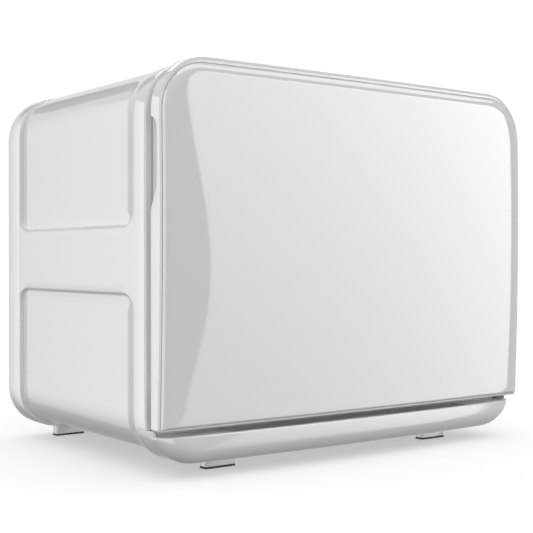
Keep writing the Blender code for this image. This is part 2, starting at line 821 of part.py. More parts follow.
def fan(name, joint_empty, side, front, back, spider_at_back):
    """A square fan frame with its motor spider, and the bladed rotor that turns in it."""
    count = FAN_POINTS
    half = side / 2
    hole = half - FAN_RIM
    square = [(x, CENTRE_Z + z) for x, z in square_points(half, count)]
    round_hole = circle((0, CENTRE_Z), hole, count, math.pi / count)
    frame = loft([
        at(square, front), at(square, back), at(round_hole, back), at(round_hole, front),
    ], closed=True)
    frame_piece = piece(name + "_frame", frame, BLACK, 0.5)
    spider_front = back - SPIDER_THICK if spider_at_back else front
    spider_back = back if spider_at_back else front + SPIDER_THICK
    arm = SPIDER_ARM
    reach = hole + FAN_RIM / 3
    cross = [
        (-arm, -arm), (-arm, -reach), (arm, -reach), (arm, -arm), (reach, -arm), (reach, arm),
        (arm, arm), (arm, reach), (-arm, reach), (-arm, arm), (-reach, arm), (-reach, -arm),
    ]
    spider = prism([(x, CENTRE_Z + z) for x, z in cross], "Y", spider_front, spider_back)
    combine(frame_piece, helper(name + "_spider", spider), "UNION")
    rotor_front = front + GAP if spider_at_back else front + SPIDER_THICK + GAP
    rotor_back = back - SPIDER_THICK - GAP if spider_at_back else back - GAP
    sections = 4
    rings = []
    for section in range(sections + 1):
        share = section / sections
        turn = math.radians(BLADE_TWIST) * share
        ring = []
        for x, z in rotor_outline(hole - TIP_CLEARANCE):
            turned_x = x * math.cos(turn) - z * math.sin(turn)
            turned_z = x * math.sin(turn) + z * math.cos(turn)
            ring.append((turned_x, rotor_front + (rotor_back - rotor_front) * share, CENTRE_Z + turned_z))
        rings.append(ring)
    piece(name + "_rotor", loft(rings), GREY, 0.4, pivot=(0, rotor_front, CENTRE_Z), parent=joint_empty)


def rotor_outline(radius):
    """A hub with thin blades standing out of it."""
    points = []
    step = 2 * math.pi / BLADE_COUNT
    for i in range(BLADE_COUNT):
        angle = i * step
        for a, r in (
            (angle - BLADE_ROOT, HUB_RADIUS), (angle - BLADE_TIP, radius), (angle + BLADE_TIP, radius),
            (angle + BLADE_ROOT, HUB_RADIUS), (angle + step / 2, HUB_RADIUS),
        ):
            points.append((r * math.cos(a), r * math.sin(a)))
    return points


def make_cooling_unit():
    """The thermoelectric unit through the back wall: sinks, block, module and two fans."""
    half = BLOCK_SIDE / 2
    low = CENTRE_Z - half
    high = CENTRE_Z + half
    peltier_back = PELTIER_FRONT + PELTIER_THICK
    piece("peltier_module", box((-half, PELTIER_FRONT, low), (half, peltier_back, high)),
          NYLON, 0.6)
    block_back = PELTIER_FRONT - GAP
    piece("cold_block", box((-half, COLD_BASE + GAP, low), (half, block_back, high)), ALUMINIUM, 0.3, 1.0)
    heat_sink("cold_heat_sink", COLD_SINK_SIDE, COLD_BASE, -1, COLD_FIN, COLD_FIN_COUNT)
    heat_sink("hot_heat_sink", HOT_SINK_SIDE, HOT_BASE, 1, HOT_FIN, HOT_FIN_COUNT)
    cold_front = COLD_FAN_FRONT
    cold_axis = axis_empty("cold_fan_axis", (0, cold_front + SPIDER_THICK + GAP, CENTRE_Z))
    fan("cold_fan", cold_axis, COLD_FAN_SIDE, cold_front, COLD_FAN_BACK, False)
    hot_axis = axis_empty("hot_fan_axis", (0, HOT_FAN_FRONT + GAP, CENTRE_Z))
    fan("hot_fan", hot_axis, HOT_FAN_SIDE, HOT_FAN_FRONT, HOT_FAN_BACK, True)


def make_inner_cover():
    """The slotted cover over the cold sink and its fan."""
    back = CAVITY_BACK - GAP

    def section(inset, y):
        return at(outline(
            COVER_HALF_WIDTH - inset, CENTRE_Z - COVER_HALF_HEIGHT + inset,
            CENTRE_Z + COVER_HALF_HEIGHT - inset, COVER_CORNER - inset, COVER_CORNER - inset, arc=4,
        ), y)

    rings = [
        section(COVER_ROUND, INNER_COVER_FRONT), section(0, INNER_COVER_FRONT + COVER_ROUND),
        section(0, back),
        section(COVER_SHEET, back), section(COVER_SHEET, INNER_COVER_FRONT + COVER_SHEET),
    ]
    cover = piece("evaporator_cover", loft(rings), WHITE, 0.35)
    slots = bmesh.new()
    pitch = INTAKE_PITCH
    for i in range(INTAKE_ROWS):
        middle = CENTRE_Z + (i - (INTAKE_ROWS - 1) / 2) * pitch
        reach = math.sqrt((COLD_FAN_SIDE / 2) ** 2 - (middle - CENTRE_Z) ** 2)
        box(
            (-reach, INNER_COVER_FRONT - GAP, middle - pitch / 4),
            (reach, INNER_COVER_FRONT + COVER_SHEET + GAP, middle + pitch / 4), slots,
        )
    span = COVER_HALF_WIDTH - OUTLET_SIDE_MARGIN
    pitch = 2 * span / OUTLET_COUNT
    half_height = OUTLET_HEIGHT / 2
    for side in (-1, 1):
        for i in range(OUTLET_COUNT):
            middle = side * (COVER_HALF_HEIGHT - OUTLET_EDGE_MARGIN) + CENTRE_Z
            left = i * pitch - span + OUTLET_BAR / 2
            box(
                (left, INNER_COVER_FRONT - GAP, middle - half_height),
                (left + pitch - OUTLET_BAR, INNER_COVER_FRONT + COVER_SHEET + GAP, middle + half_height),
                slots,
            )
    combine(cover, helper("inner_cover_slots", slots))


def make_rear_cover():
    """The vented panel that closes the back, with a cut-out for the control pod."""
    outer = cabinet_outline(RING_SEAT + GAP)
    cover = piece("rear_cover", loft([at(outer, COVER_FRONT), at(outer, COVER_BACK)]), WHITE, 0.4)
    cuts = bmesh.new()
    through = (COVER_FRONT - GAP, COVER_BACK + GAP)
    for row in range(VENT_ROWS):
        middle_z = CENTRE_Z + (row - (VENT_ROWS - 1) / 2) * VENT_PITCH
        for column in range(VENT_COLUMNS):
            middle_x = (column - (VENT_COLUMNS - 1) / 2) * VENT_SPACING
            box(
                (middle_x - VENT_LENGTH / 2, through[0], middle_z - VENT_HEIGHT / 2),
                (middle_x + VENT_LENGTH / 2, through[1], middle_z + VENT_HEIGHT / 2), cuts,
            )
    half = POD_WIDTH / 2 + GAP
    pod_low = UNDERSIDE + POD_LIFT
    pod_high = pod_low + POD_HEIGHT
    box((POD_X - half, through[0], pod_low - GAP), (POD_X + half, through[1], pod_high + GAP), cuts)
    for x, z in rear_screw_places():
        prism(circle((x, z), SCREW_SHANK + GAP, 8), "Y", through[0], through[1], cuts)
    combine(cover, helper("rear_cover_cuts", cuts))


def make_rear_screws():
    """Pan-head screws through the rear cover into the ring."""
    for number, (x, z) in enumerate(rear_screw_places(), start=1):
        head_front = COVER_BACK + GAP
        rings = [
            at(circle((x, z), SCREW_SHANK, SCREW_POINTS), COVER_FRONT - SCREW_LENGTH + REAR_COVER_WALL),
            at(circle((x, z), SCREW_SHANK, SCREW_POINTS), head_front),
            at(circle((x, z), SCREW_HEAD, SCREW_POINTS), head_front),
            at(circle((x, z), SCREW_HEAD, SCREW_POINTS), head_front + SCREW_HEAD_HEIGHT / 2),
            at(circle((x, z), SCREW_HEAD * SCREW_CROWN, SCREW_POINTS), head_front + SCREW_HEAD_HEIGHT),
        ]
        piece("rear_screw_%d" % number, loft(rings), STEEL, 0.35, 1.0)


def make_control_pod():
    """The sunk pod at the back with the power inlet, the mode switch and the thermostat knob."""
    low = UNDERSIDE + POD_LIFT
    high = low + POD_HEIGHT
    half = POD_WIDTH / 2
    middle = (low + high) / 2
    floor = COVER_BACK - POD_DEPTH
    pod = piece("control_pod", box((POD_X - half, floor, low), (POD_X + half, COVER_BACK, high)), WHITE, 0.4)
    seat = floor + POD_WALL
    cuts = box(
        (POD_X - half + POD_WALL, seat, low + POD_WALL),
        (POD_X + half - POD_WALL, COVER_BACK + GAP, high - POD_WALL),
    )
    combine(pod, helper("pod_hollow", cuts))
    inlet_x = POD_X + INLET_SHIFT
    knob_x = POD_X + KNOB_SHIFT
    floor_holes = bmesh.new()
    inlet_half = (INLET_WIDTH / 2 + GAP, INLET_HEIGHT / 2 + GAP)
    switch_half = (SWITCH_WIDTH / 2 + SWITCH_RIM + GAP, SWITCH_HEIGHT / 2 + SWITCH_RIM + GAP)
    for x, (half_x, half_z) in ((inlet_x, inlet_half), (POD_X, switch_half)):
        box(
            (x - half_x, floor - GAP, middle - half_z), (x + half_x, seat + GAP, middle + half_z),
            floor_holes,
        )
    prism(circle((knob_x, middle), SHAFT_RADIUS + GAP, 24), "Y", floor - GAP, seat + GAP, floor_holes)
    combine(pod, helper("pod_floor_holes", floor_holes))
    make_inlet(inlet_x, middle, seat)
    make_switch(middle, seat)
    make_knob(knob_x, middle, seat, floor)


def make_inlet(x, z, seat):
    """The appliance inlet: a block with a socket that opens towards the back."""
    back = seat + INLET_PROUD
    half_x = INLET_WIDTH / 2
    half_z = INLET_HEIGHT / 2
    block = box((x - half_x, back - INLET_BODY, z - half_z), (x + half_x, back, z + half_z))
    inlet = piece("power_inlet", block, BLACK, 0.5)
    half_x = INLET_SOCKET_WIDTH / 2
    half_z = INLET_SOCKET_HEIGHT / 2
    socket = box(
        (x - half_x, back - INLET_SOCKET_DEPTH, z - half_z), (x + half_x, back + GAP, z + half_z),
    )
    combine(inlet, helper("inlet_socket", socket))


def make_switch(z, seat):
    """A rocker that tips either way in its rim: cold one way, warm the other, off in the middle."""
    back = seat + SWITCH_PROUD
    front = seat - SWITCH_BODY
    half_x = SWITCH_WIDTH / 2
    half_z = SWITCH_HEIGHT / 2
    rim = SWITCH_RIM
    housing = piece("switch_housing", box(
        (POD_X - half_x - rim, front, z - half_z - rim), (POD_X + half_x + rim, back, z + half_z + rim),
    ), BLACK, 0.5)
    well = box((POD_X - half_x, front + rim, z - half_z), (POD_X + half_x, back + GAP, z + half_z))
    combine(housing, helper("switch_well", well))
    pivot_y = front + rim + ROCKER_PIVOT_LIFT
    root = pivot_y - ROCKER_ROOT
    shoulder = back - ROCKER_SHOULDER
    reach = half_z - ROCKER_GAP
    crest = back + ROCKER_CREST
    profile = [
        (root, z - ROCKER_ROOT_HALF), (root, z + ROCKER_ROOT_HALF), (shoulder, z + reach),
        (crest, z + reach), (crest - ROCKER_DISH, z), (crest, z - reach), (shoulder, z - reach),
    ]
    rocker_half = half_x - ROCKER_GAP
    rocker = prism(profile, "X", POD_X - rocker_half, POD_X + rocker_half)
    piece("mode_rocker", rocker, DARK, 0.35, pivot=(POD_X, pivot_y, z))


def make_knob(x, z, seat, floor):
    """The thermostat behind the pod's floor and the knob on its shaft."""
    count = 24
    knob_front = seat + GAP
    rings = [
        at(circle((x, z), SHAFT_RADIUS, count), floor - SHAFT_REACH),
        at(circle((x, z), SHAFT_RADIUS, count), knob_front),
        at(circle((x, z), KNOB_RADIUS, count), knob_front),
        at(circle((x, z), KNOB_RADIUS * KNOB_TAPER, count), knob_front + KNOB_HEIGHT - KNOB_EDGE),
        at(circle((x, z), KNOB_RADIUS * KNOB_CROWN, count), knob_front + KNOB_HEIGHT),
    ]
    piece("thermostat_knob", loft(rings), WHITE, 0.35, pivot=(x, knob_front, z))
    body = KNOB_RADIUS
    back = floor - GAP
    thermostat = piece("thermostat_body", box(
        (x - body, back - THERMOSTAT_DEPTH, z - body), (x + body, back, z + body),
    ), GREY, 0.5)
    bore = prism(circle((x, z), SHAFT_RADIUS + GAP, count), "Y", back - THERMOSTAT_BORE, back + GAP)
    combine(thermostat, helper("thermostat_bore", bore))


def make_power_board():
    """The supply board on posts behind the insulation, with its transformer and smoothing can."""
    low = UNDERSIDE + POD_LIFT
    front = PLATE_BACK + GAP
    board_front = front + BOARD_LIFT
    board_back = board_front + BOARD_THICK
    left = BOARD_X - BOARD_WIDTH / 2
    right = BOARD_X + BOARD_WIDTH / 2
    board = piece("power_board", box((left, board_front, low), (right, board_back, low + BOARD_HEIGHT)),
                  BOARD_GREEN, 0.5)
    extras = bmesh.new()
    margin = POST_MARGIN
    for x in (left + margin, right - margin):
        for z in (low + margin, low + BOARD_HEIGHT - margin):
            prism(circle((x, z), POST_RADIUS, 8), "Y", front, board_front + BOARD_THICK / 2, extras)
    can = circle((right - CAN_INSET, low + BOARD_HEIGHT - CAN_INSET), CAN_RADIUS, 16)
    prism(can, "Y", board_front + BOARD_THICK / 2, board_back + CAN_HEIGHT, extras)
    combine(board, helper("board_posts_and_can", extras), "UNION")
    side = TRANSFORMER_SIDE
    start = left + TRANSFORMER_INSET
    base = low + TRANSFORMER_LIFT
    transformer = box(
        (start, board_back + GAP, base), (start + side, board_back + GAP + TRANSFORMER_HEIGHT, base + side),
    )
    piece("transformer", transformer, COPPER, 0.6)


def pull_outline():
    """The finger pull seen from the side: round at the front, open towards the cabinet."""
    low = PULL_LOW
    high = PULL_LOW + PULL_HEIGHT
    front = DOOR_EDGE + PULL_LIP
    back = DOOR_BACK + SEAL_GAP / 2
    radius = PULL_CORNER
    points = [(back, low)]
    for i in range(5):
        angle = math.radians(90 * i / 4)
        points.append((front + radius - radius * math.sin(angle), low + radius - radius * math.cos(angle)))
    for i in range(5):
        angle = math.radians(90 * i / 4)
        points.append((front + radius - radius * math.cos(angle), high - radius + radius * math.sin(angle)))
    points.append((back, high))
    return points


def pull_space():
    """The space that the fingers reach into, as a closed shape."""
    return prism(pull_outline(), "X", -HALF - GAP, -HALF + PULL_DEPTH)


def make_door_frame(door):
    """The rim round the door, cut through for the finger pull, the hinge arm and the lower pin."""
    middle = round_inset(RIM_ROUND)
    sides = ((RIM_ROUND, 0), (middle, middle), (0, RIM_ROUND))
    rings = [on_front(door_outline(inset, inset, inset), behind) for inset, behind in sides]
    rings.append(at(door_outline(0, 0, 0), DOOR_BACK - EDGE_BREAK))
    rings.append(at(door_outline(EDGE_BREAK, EDGE_BREAK, EDGE_BREAK), DOOR_BACK))
    opening = door_outline(LIP_SIDE, LIP_LOW, LIP_TOP)
    rings.append(at(opening, DOOR_BACK))
    rings.append(on_front(opening, 0))
    frame = piece(
        "door_frame", loft(rings, closed=True), WHITE, 0.2, pivot=(HINGE_X, HINGE_Y, 0), parent=door,
    )
    combine(frame, helper("pull_through", pull_space()))
    combine(frame, helper("arm_slot", arm_slot()))
    hole = circle((HINGE_X, HINGE_Y), PIN_RADIUS + PIN_HOLE_CLEARANCE, 24)
    pin_hole = prism(hole, "Z", DOOR_LOW - GAP, DOOR_LOW + LIP_LOW + GAP)
    combine(frame, helper("lower_pin_hole", pin_hole))


def arm_slot():
    """The slot that the upper hinge arm sweeps through as the door opens."""
    return box(
        (HINGE_X - 2 * ARM_HALF, DOOR_EDGE + SLOT_FRONT_SKIN, ARM_TOP_Z - ARM_CLEARANCE),
        (HALF + GAP, FACE, ARM_TOP_Z + ARM_THICK + ARM_CLEARANCE),
    )


def crowned_slab(edge, front_offset, back_rings):
    """A slab with a pillowed front inside an outline. Its back follows in rings of its own."""
    rings = [on_front(scaled(edge, 0.2), front_offset)]
    for factor in (0.4, 0.6, 0.8):
        rings.append(on_front(scaled(edge, factor), front_offset))
    return rings + back_rings


def make_door_panel(door):
    """The glossy pillowed panel inside the rim."""
    gap = 2 * GAP
    side = LIP_SIDE + gap
    low = LIP_LOW + gap
    top = LIP_TOP + gap
    edge = door_outline(side, low, top)
    inset = round_inset(PANEL_ROUND)
    turn = door_outline(side + inset, low + inset, top + inset)
    face = door_outline(side + PANEL_ROUND, low + PANEL_ROUND, top + PANEL_ROUND)
    back_rings = [
        on_front(face, 0), on_front(turn, round_inset(PANEL_ROUND_DEPTH)),
        on_front(edge, PANEL_ROUND_DEPTH), on_front(edge, PANEL_WALL),
    ]
    for factor in (0.8, 0.6, 0.4, 0.2):
        back_rings.append(on_front(scaled(edge, factor), PANEL_WALL))
    bm = loft(crowned_slab(face, 0, back_rings))
    piece("door_front_panel", bm, WHITE, 0.08, pivot=(HINGE_X, HINGE_Y, 0), parent=door)


def make_door_foam(door):
    """The foam slab between the panel and the lining."""
    side = LIP_SIDE + DOOR_FOAM_SIDE_ROOM
    edge = door_outline(side, LIP_LOW + DOOR_FOAM_MARGIN, LIP_TOP + DOOR_FOAM_MARGIN)
    back = DOOR_BACK - DOOR_LINER_WALL - GAP
    bm = loft(crowned_slab(edge, PANEL_WALL + GAP, [on_front(edge, PANEL_WALL + GAP), at(edge, back)]))
    piece("door_foam", bm, FOAM, 0.9, pivot=(HINGE_X, HINGE_Y, 0), parent=door)


def make_door_liner(door):
    """The door's moulded lining: a flat flange, a raised dyke and a sunk middle for the bins."""
    wall = DOOR_LINER_WALL
    dyke = -DYKE_MARGIN
    top = DOOR_BACK + DYKE_HEIGHT
    floor = top - RECESS_DEPTH
    rim = outline(
        HALF - LIP_SIDE - GAP, DOOR_LOW + LIP_LOW + GAP, TOP - LIP_TOP - GAP,
        DOOR_CORNER_LOW / 2, CORNER_TOP - (LIP_SIDE + LIP_TOP) / 2, arc=5,
    )
    inside = dyke - DYKE_WIDTH
    rings = [
        at(cavity_outline(inside - DYKE_DRAFT + wall), floor - wall),
        at(cavity_outline(inside + wall), top - wall),
        at(cavity_outline(dyke - wall), top - wall),
        at(cavity_outline(dyke + DYKE_DRAFT - wall), DOOR_BACK - wall),
        at(rim, DOOR_BACK - wall),
        at(rim, DOOR_BACK),
        at(cavity_outline(dyke + DYKE_DRAFT), DOOR_BACK),
        at(cavity_outline(dyke + DYKE_ROUND / 3), top - DYKE_ROUND),
        at(cavity_outline(dyke - DYKE_ROUND * 2 / 3), top),
        at(cavity_outline(inside + DYKE_ROUND * 2 / 3), top),
        at(cavity_outline(inside - DYKE_ROUND / 3), top - DYKE_ROUND),
        at(cavity_outline(inside - DYKE_DRAFT), floor),
    ]
    liner = piece("door_liner", loft(rings), LINER_WHITE, 0.35, pivot=(HINGE_X, HINGE_Y, 0), parent=door)
    cuts = bmesh.new()
    front = DOOR_EDGE
    back = DOOR_BACK + GAP
    pull_inner = PULL_DEPTH + PULL_WALL + GAP
    box(
        (-HALF, front, PULL_LOW - PULL_WALL - GAP),
        (-HALF + pull_inner, back, PULL_LOW + PULL_HEIGHT + PULL_WALL + GAP), cuts,
    )
    left = HINGE_X - BLOCK_REACH - GAP
    slot_top = ARM_TOP_Z + ARM_THICK + ARM_CLEARANCE
    box((left, front, BLOCK_TOP_HIGH - BLOCK_HEIGHT - 2 * GAP), (HALF, back, slot_top), cuts)
    box((left, front, DOOR_LOW), (HALF, back, BLOCK_LOW_HIGH + GAP), cuts)
    combine(liner, helper("door_liner_cuts", cuts))


def make_finger_pull(door):
    """The pocket behind the opening in the rim, open to the side and to the back."""
    front = DOOR_EDGE + PULL_LIP - PULL_SKIN
    block = box(
        (-HALF + LIP_SIDE + GAP, front, PULL_LOW - PULL_WALL),
        (-HALF + PULL_DEPTH + PULL_WALL, DOOR_BACK, PULL_LOW + PULL_HEIGHT + PULL_WALL),
    )
    pull = piece("finger_pull", block, WHITE, 0.3, pivot=(HINGE_X, HINGE_Y, 0), parent=door)
    combine(pull, helper("pull_hollow", pull_space()))


def make_gasket(door):
    """The magnetic seal between the lining and the cabinet's face."""
    def ring(inset, y):
        side = SEAL_INSET + inset
        return at(outline(
            HALF - side, DOOR_LOW + LIP_LOW + SEAL_LOW_MARGIN + inset, TOP - side,
            SEAL_CORNER_LOW - inset / 2, CORNER_TOP - side, arc=5,
        ), y)

    front = DOOR_BACK + GAP
    back = FACE - GAP
    middle = (front + back) / 2
    shoulder = back - SEAL_WAIST
    rings = [
        ring(0, front), ring(SEAL_WAIST, middle), ring(0, shoulder), ring(SEAL_EDGE, back),
        ring(SEAL_WIDTH - SEAL_EDGE, back), ring(SEAL_WIDTH, shoulder),
        ring(SEAL_WIDTH - SEAL_WAIST, middle), ring(SEAL_WIDTH, front),
    ]
    piece("door_gasket", loft(rings, closed=True), SEAL_GREY, 0.6,
          pivot=(HINGE_X, HINGE_Y, 0), parent=door)


def make_bin(door, name, low, height):
    """A door bin: an open tray between the dykes."""
    inside = CAVITY_HALF - DYKE_MARGIN - DYKE_WIDTH - DYKE_DRAFT - BIN_CLEARANCE
    front = DOOR_BACK + DYKE_HEIGHT - RECESS_DEPTH + GAP
    back = front + BIN_REACH

    def ring(wall, z):
        radius = BIN_CORNER
        corners = [(inside - radius, back - radius, 0), (radius - inside, back - radius, 90)]
        points = [(-inside + wall, front + wall), (inside - wall, front + wall)]
        for x, y, start in corners:
            for i in range(4):
                angle = math.radians(start + 90 * i / 3)
                reach = radius - wall
                points.append((x + reach * math.cos(angle), y + reach * math.sin(angle)))
        return [(x, y, z) for x, y in points]

    top = low + height
    rings = [ring(0, low), ring(0, top), ring(BIN_WALL, top), ring(BIN_WALL, low + BIN_WALL)]
    piece(name, loft(rings), CLEAR, 0.15, alpha=0.6, pivot=(HINGE_X, HINGE_Y, 0), parent=door)


def hinge_block(door, name, low, high):
    """A nylon block in the door with the bore that a hinge pin runs in."""
    count = 24
    back = DOOR_BACK
    square = []
    for x, y in circle((0, 0), 1.0, count, math.pi / count):
        reach_x = BLOCK_REACH / abs(x)
        reach_y = (back - HINGE_Y if y > 0 else BLOCK_REACH) / abs(y)
        reach = min(reach_x, reach_y)
        square.append((HINGE_X + x * reach, HINGE_Y + y * reach))
    bore = circle((HINGE_X, HINGE_Y), PIN_RADIUS + BORE_CLEARANCE, count, math.pi / count)
    rings = [[(x, y, z) for x, y in points] for points, z in (
        (square, low), (square, high), (bore, high), (bore, low),
    )]
    piece(name, loft(rings, closed=True), NYLON, 0.5, pivot=(HINGE_X, HINGE_Y, 0), parent=door)


def make_hinges(door):
    """Brackets and pins on the cabinet, and the blocks in the door that they carry."""
    back = FACE - GAP
    plate = BRACKET_PLATE
    arm_front = HINGE_Y - ARM_HALF
    foot = ARM_TOP_Z - BRACKET_HEIGHT
    top_profile = [
        (back, foot), (back - plate, foot), (back - plate, ARM_TOP_Z), (arm_front, ARM_TOP_Z),
        (arm_front, ARM_TOP_Z + ARM_THICK), (back, ARM_TOP_Z + ARM_THICK),
    ]
    left = HINGE_X - ARM_HALF
    right = HINGE_X + ARM_HALF
    piece("hinge_bracket_top", prism(top_profile, "X", left, right), STEEL, 0.35, 1.0)
    low = BRACKET_LOW_Z
    low_profile = [
        (back, low), (arm_front, low), (arm_front, low + ARM_THICK), (back - plate, low + ARM_THICK),
        (back - plate, low + BRACKET_HEIGHT), (back, low + BRACKET_HEIGHT),
    ]
    piece("hinge_bracket_bottom", prism(low_profile, "X", left, right), STEEL, 0.35, 1.0)
    top_block_low = BLOCK_TOP_HIGH - BLOCK_HEIGHT
    pin = circle((HINGE_X, HINGE_Y), PIN_RADIUS, 24, math.pi / 24)
    upper = prism(pin, "Z", top_block_low + PIN_END_ROOM, ARM_TOP_Z - GAP)
    lower = prism(pin, "Z", low + ARM_THICK + GAP, BLOCK_LOW_HIGH - PIN_END_ROOM)
    piece("hinge_pin_top", upper, STEEL, 0.25, 1.0)
    piece("hinge_pin_bottom", lower, STEEL, 0.25, 1.0)
    hinge_block(door, "hinge_bush_top", top_block_low, BLOCK_TOP_HIGH - GAP)
    hinge_block(door, "hinge_bush_bottom", DOOR_LOW + LIP_LOW + GAP, BLOCK_LOW_HIGH)


def make_door():
    """Everything that swings with the door, hung from an empty on the hinge axis."""
    door = axis_empty("door_axis", (HINGE_X, HINGE_Y, 0))
    make_door_frame(door)
    make_door_panel(door)
    make_door_foam(door)
    make_door_liner(door)
    make_finger_pull(door)
    make_gasket(door)
    first = CAVITY_LOW + DYKE_MARGIN + DYKE_WIDTH + BIN_FLOOR_ROOM
    make_bin(door, "door_bin_lower", first, LOWER_BIN_HEIGHT)
    make_bin(door, "door_bin_upper", first + BIN_PITCH, UPPER_BIN_HEIGHT)
    make_hinges(door)


def main():
    """Build the whole fridge."""
    clear_scene()
    make_outer_shell()
    make_rear_ring()
    make_inner_liner()
    make_insulation()
    make_chin()
    make_intake_grille()
    make_feet()
    make_shelf()
    make_lamp()
    make_cooling_unit()
    make_inner_cover()
    make_rear_cover()
    make_rear_screws()
    make_control_pod()
    make_power_board()
    make_door()


main()
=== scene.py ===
import json
import math

import bmesh
import bpy
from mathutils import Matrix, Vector

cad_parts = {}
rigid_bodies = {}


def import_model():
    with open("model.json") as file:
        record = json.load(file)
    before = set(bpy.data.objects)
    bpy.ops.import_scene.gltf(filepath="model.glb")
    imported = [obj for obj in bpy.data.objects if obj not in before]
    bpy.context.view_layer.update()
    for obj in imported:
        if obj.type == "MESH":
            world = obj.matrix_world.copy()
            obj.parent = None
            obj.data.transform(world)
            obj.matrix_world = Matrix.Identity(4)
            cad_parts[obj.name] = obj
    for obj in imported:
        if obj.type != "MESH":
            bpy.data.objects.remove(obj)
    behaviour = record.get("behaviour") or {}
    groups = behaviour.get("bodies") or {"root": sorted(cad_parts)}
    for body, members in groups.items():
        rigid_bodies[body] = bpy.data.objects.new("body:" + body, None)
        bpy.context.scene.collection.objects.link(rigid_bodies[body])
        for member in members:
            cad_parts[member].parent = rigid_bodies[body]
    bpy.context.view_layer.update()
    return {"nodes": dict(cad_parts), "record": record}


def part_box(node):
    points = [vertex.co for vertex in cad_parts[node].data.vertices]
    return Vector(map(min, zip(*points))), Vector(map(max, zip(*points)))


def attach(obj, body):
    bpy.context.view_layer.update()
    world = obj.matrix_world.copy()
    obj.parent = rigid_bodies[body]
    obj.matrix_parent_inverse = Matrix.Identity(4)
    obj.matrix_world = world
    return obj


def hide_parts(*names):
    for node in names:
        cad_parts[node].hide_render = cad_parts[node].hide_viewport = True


bl_info = {
    "name": "Mini Fridge Looks",
    "version": (1, 0, 0),
    "blender": (4, 5, 0),
    "location": "3D View > Sidebar > Fridge",
    "description": "Builds the visible shells, trims and finishes of a landscape mini fridge",
    "category": "Add Mesh",
}

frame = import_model()

SHELL_LOW, SHELL_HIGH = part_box("outer_shell")
RING_LOW, RING_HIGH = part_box("rear_ring")
RIM_LOW, RIM_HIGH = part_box("door_frame")
PULL_LOW, PULL_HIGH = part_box("finger_pull")
COVER_LOW, COVER_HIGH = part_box("rear_cover")

HALF = RING_HIGH.x
UNDERSIDE = RING_LOW.z
TOP = RING_HIGH.z
FACE = SHELL_LOW.y
SHELL_BACK = SHELL_HIGH.y
DOOR_BACK = RIM_HIGH.y
DOOR_LOW = RIM_LOW.z
BLOCK_LOW, BLOCK_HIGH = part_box("cold_block")
VENT_Z = (BLOCK_LOW.z + BLOCK_HIGH.z) / 2

FOOT_SETBACK = 0.0425                                        # front feet behind the door's edge
DOOR_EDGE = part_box("foot_front_left")[0].y - FOOT_SETBACK    # front of the door's rim at its sides
CROWN_SHARE = 0.575                                          # height at which the front swells most
CROWN_Z = DOOR_LOW + CROWN_SHARE * (TOP - DOOR_LOW)

GAP = 0.0003             # clearance between neighbouring pieces
FAR = 1.0                # reach of a cutting box past the fridge
QUARTER = math.pi / 2
SHARP = 40.0             # degrees between faces, past which an edge is kept sharp
CUT_SHARP = 35.0         # the same after a cut
BLOCK_SHARP = 50.0       # the same for a block with bevelled edges
MERGE = 1e-6             # distance under which two points become one


# ---------------------------------------------------------------- sizes and colours

def length(name, default, description):
    """A size in metres that a user may change."""
    return bpy.props.FloatProperty(
        name=name, description=description, default=default, min=0.0, precision=4,
        unit="LENGTH", subtype="DISTANCE",
    )


def colour(name, default, description):
    """A surface colour that a user may change."""
    return bpy.props.FloatVectorProperty(
        name=name, description=description, default=default, size=3, min=0.0, max=1.0,
        subtype="COLOR",
    )


class FridgeCabinetSizes(bpy.types.PropertyGroup):
    """Sizes of the cabinet's shell, rear frame and bottom trim."""
    corner_top: length("Upper corner", 0.055, "Radius of the upper corners")
    corner_low: length("Lower corner", 0.050, "Radius of the lower corners")
    crest_drop: length("Crest drop", 0.0025, "How far the cabinet's top lies under the door's")
    top_sink: length("Top depth", 0.0015, "How deep the top is sunk behind its front edge")
    panel_sink: length("Panel depth", 0.005, "How deep the side panels are sunk")
    band_low: length("Band bottom", 0.187, "Height of the lower edge of the side band")
    band_high: length("Band top", 0.2527, "Height of the upper edge of the side band")
    recess_edge: length("Panel edge", 0.004, "Height over which a panel's edge falls in")
    recess_fade: length("Front fade", 0.0165, "Width over which a panel's front edge falls in")
    recess_start: length("Panel front", 0.046, "Where a panel starts, behind the door's edge")
    recess_front: length("Front turn", 0.027, "Length of the rounding at a panel's front")
    recess_back: length("Back turn", 0.024, "Length of the rounding at a panel's back")
    recess_turn: length("Corner rise", 0.018, "Height of the rounding at a panel's corners")
    wall: length("Wall", 0.0025, "Thickness of the outer shell")
    lip: length("Face lip", 0.008, "Width of the lip turned in at the front")
    lip_thick: length("Lip thickness", 0.003, "Thickness of the lip turned in at the front")
    edge_round: length("Front round", 0.002, "Radius of the shell's front edge")
    ring_wall: length("Rear frame wall", 0.020, "Width of the rear frame")
    ring_seat: length("Rear seat", 0.014, "Width of the rear frame outside the cover's seat")
    ring_round: length("Rear round", 0.006, "Radius of the rear frame's back edge")
    chin_bow: length("Trim bow", 0.009, "How far the bottom trim bows forward")
    chin_round: length("Trim round", 0.020, "Radius of the bottom trim's underside")
    chin_end: length("Trim end", 0.038, "Length of the rounding at the trim's ends")
    chin_setback: length("Trim setback", 0.022, "How far the trim's ends turn back")
    wing_top: length("Wing top", 0.0507, "Height of the wings round the lower corners")
    wing_length: length("Wing length", 0.0415, "Length of the wings behind the door's edge")
    wing_wall: length("Wing wall", 0.0028, "Thickness of the wings")
    slot_half: length("Slot half width", 0.171, "Half the width of the intake slot")
    slot_depth: length("Slot depth", 0.014, "Depth of the intake slot")


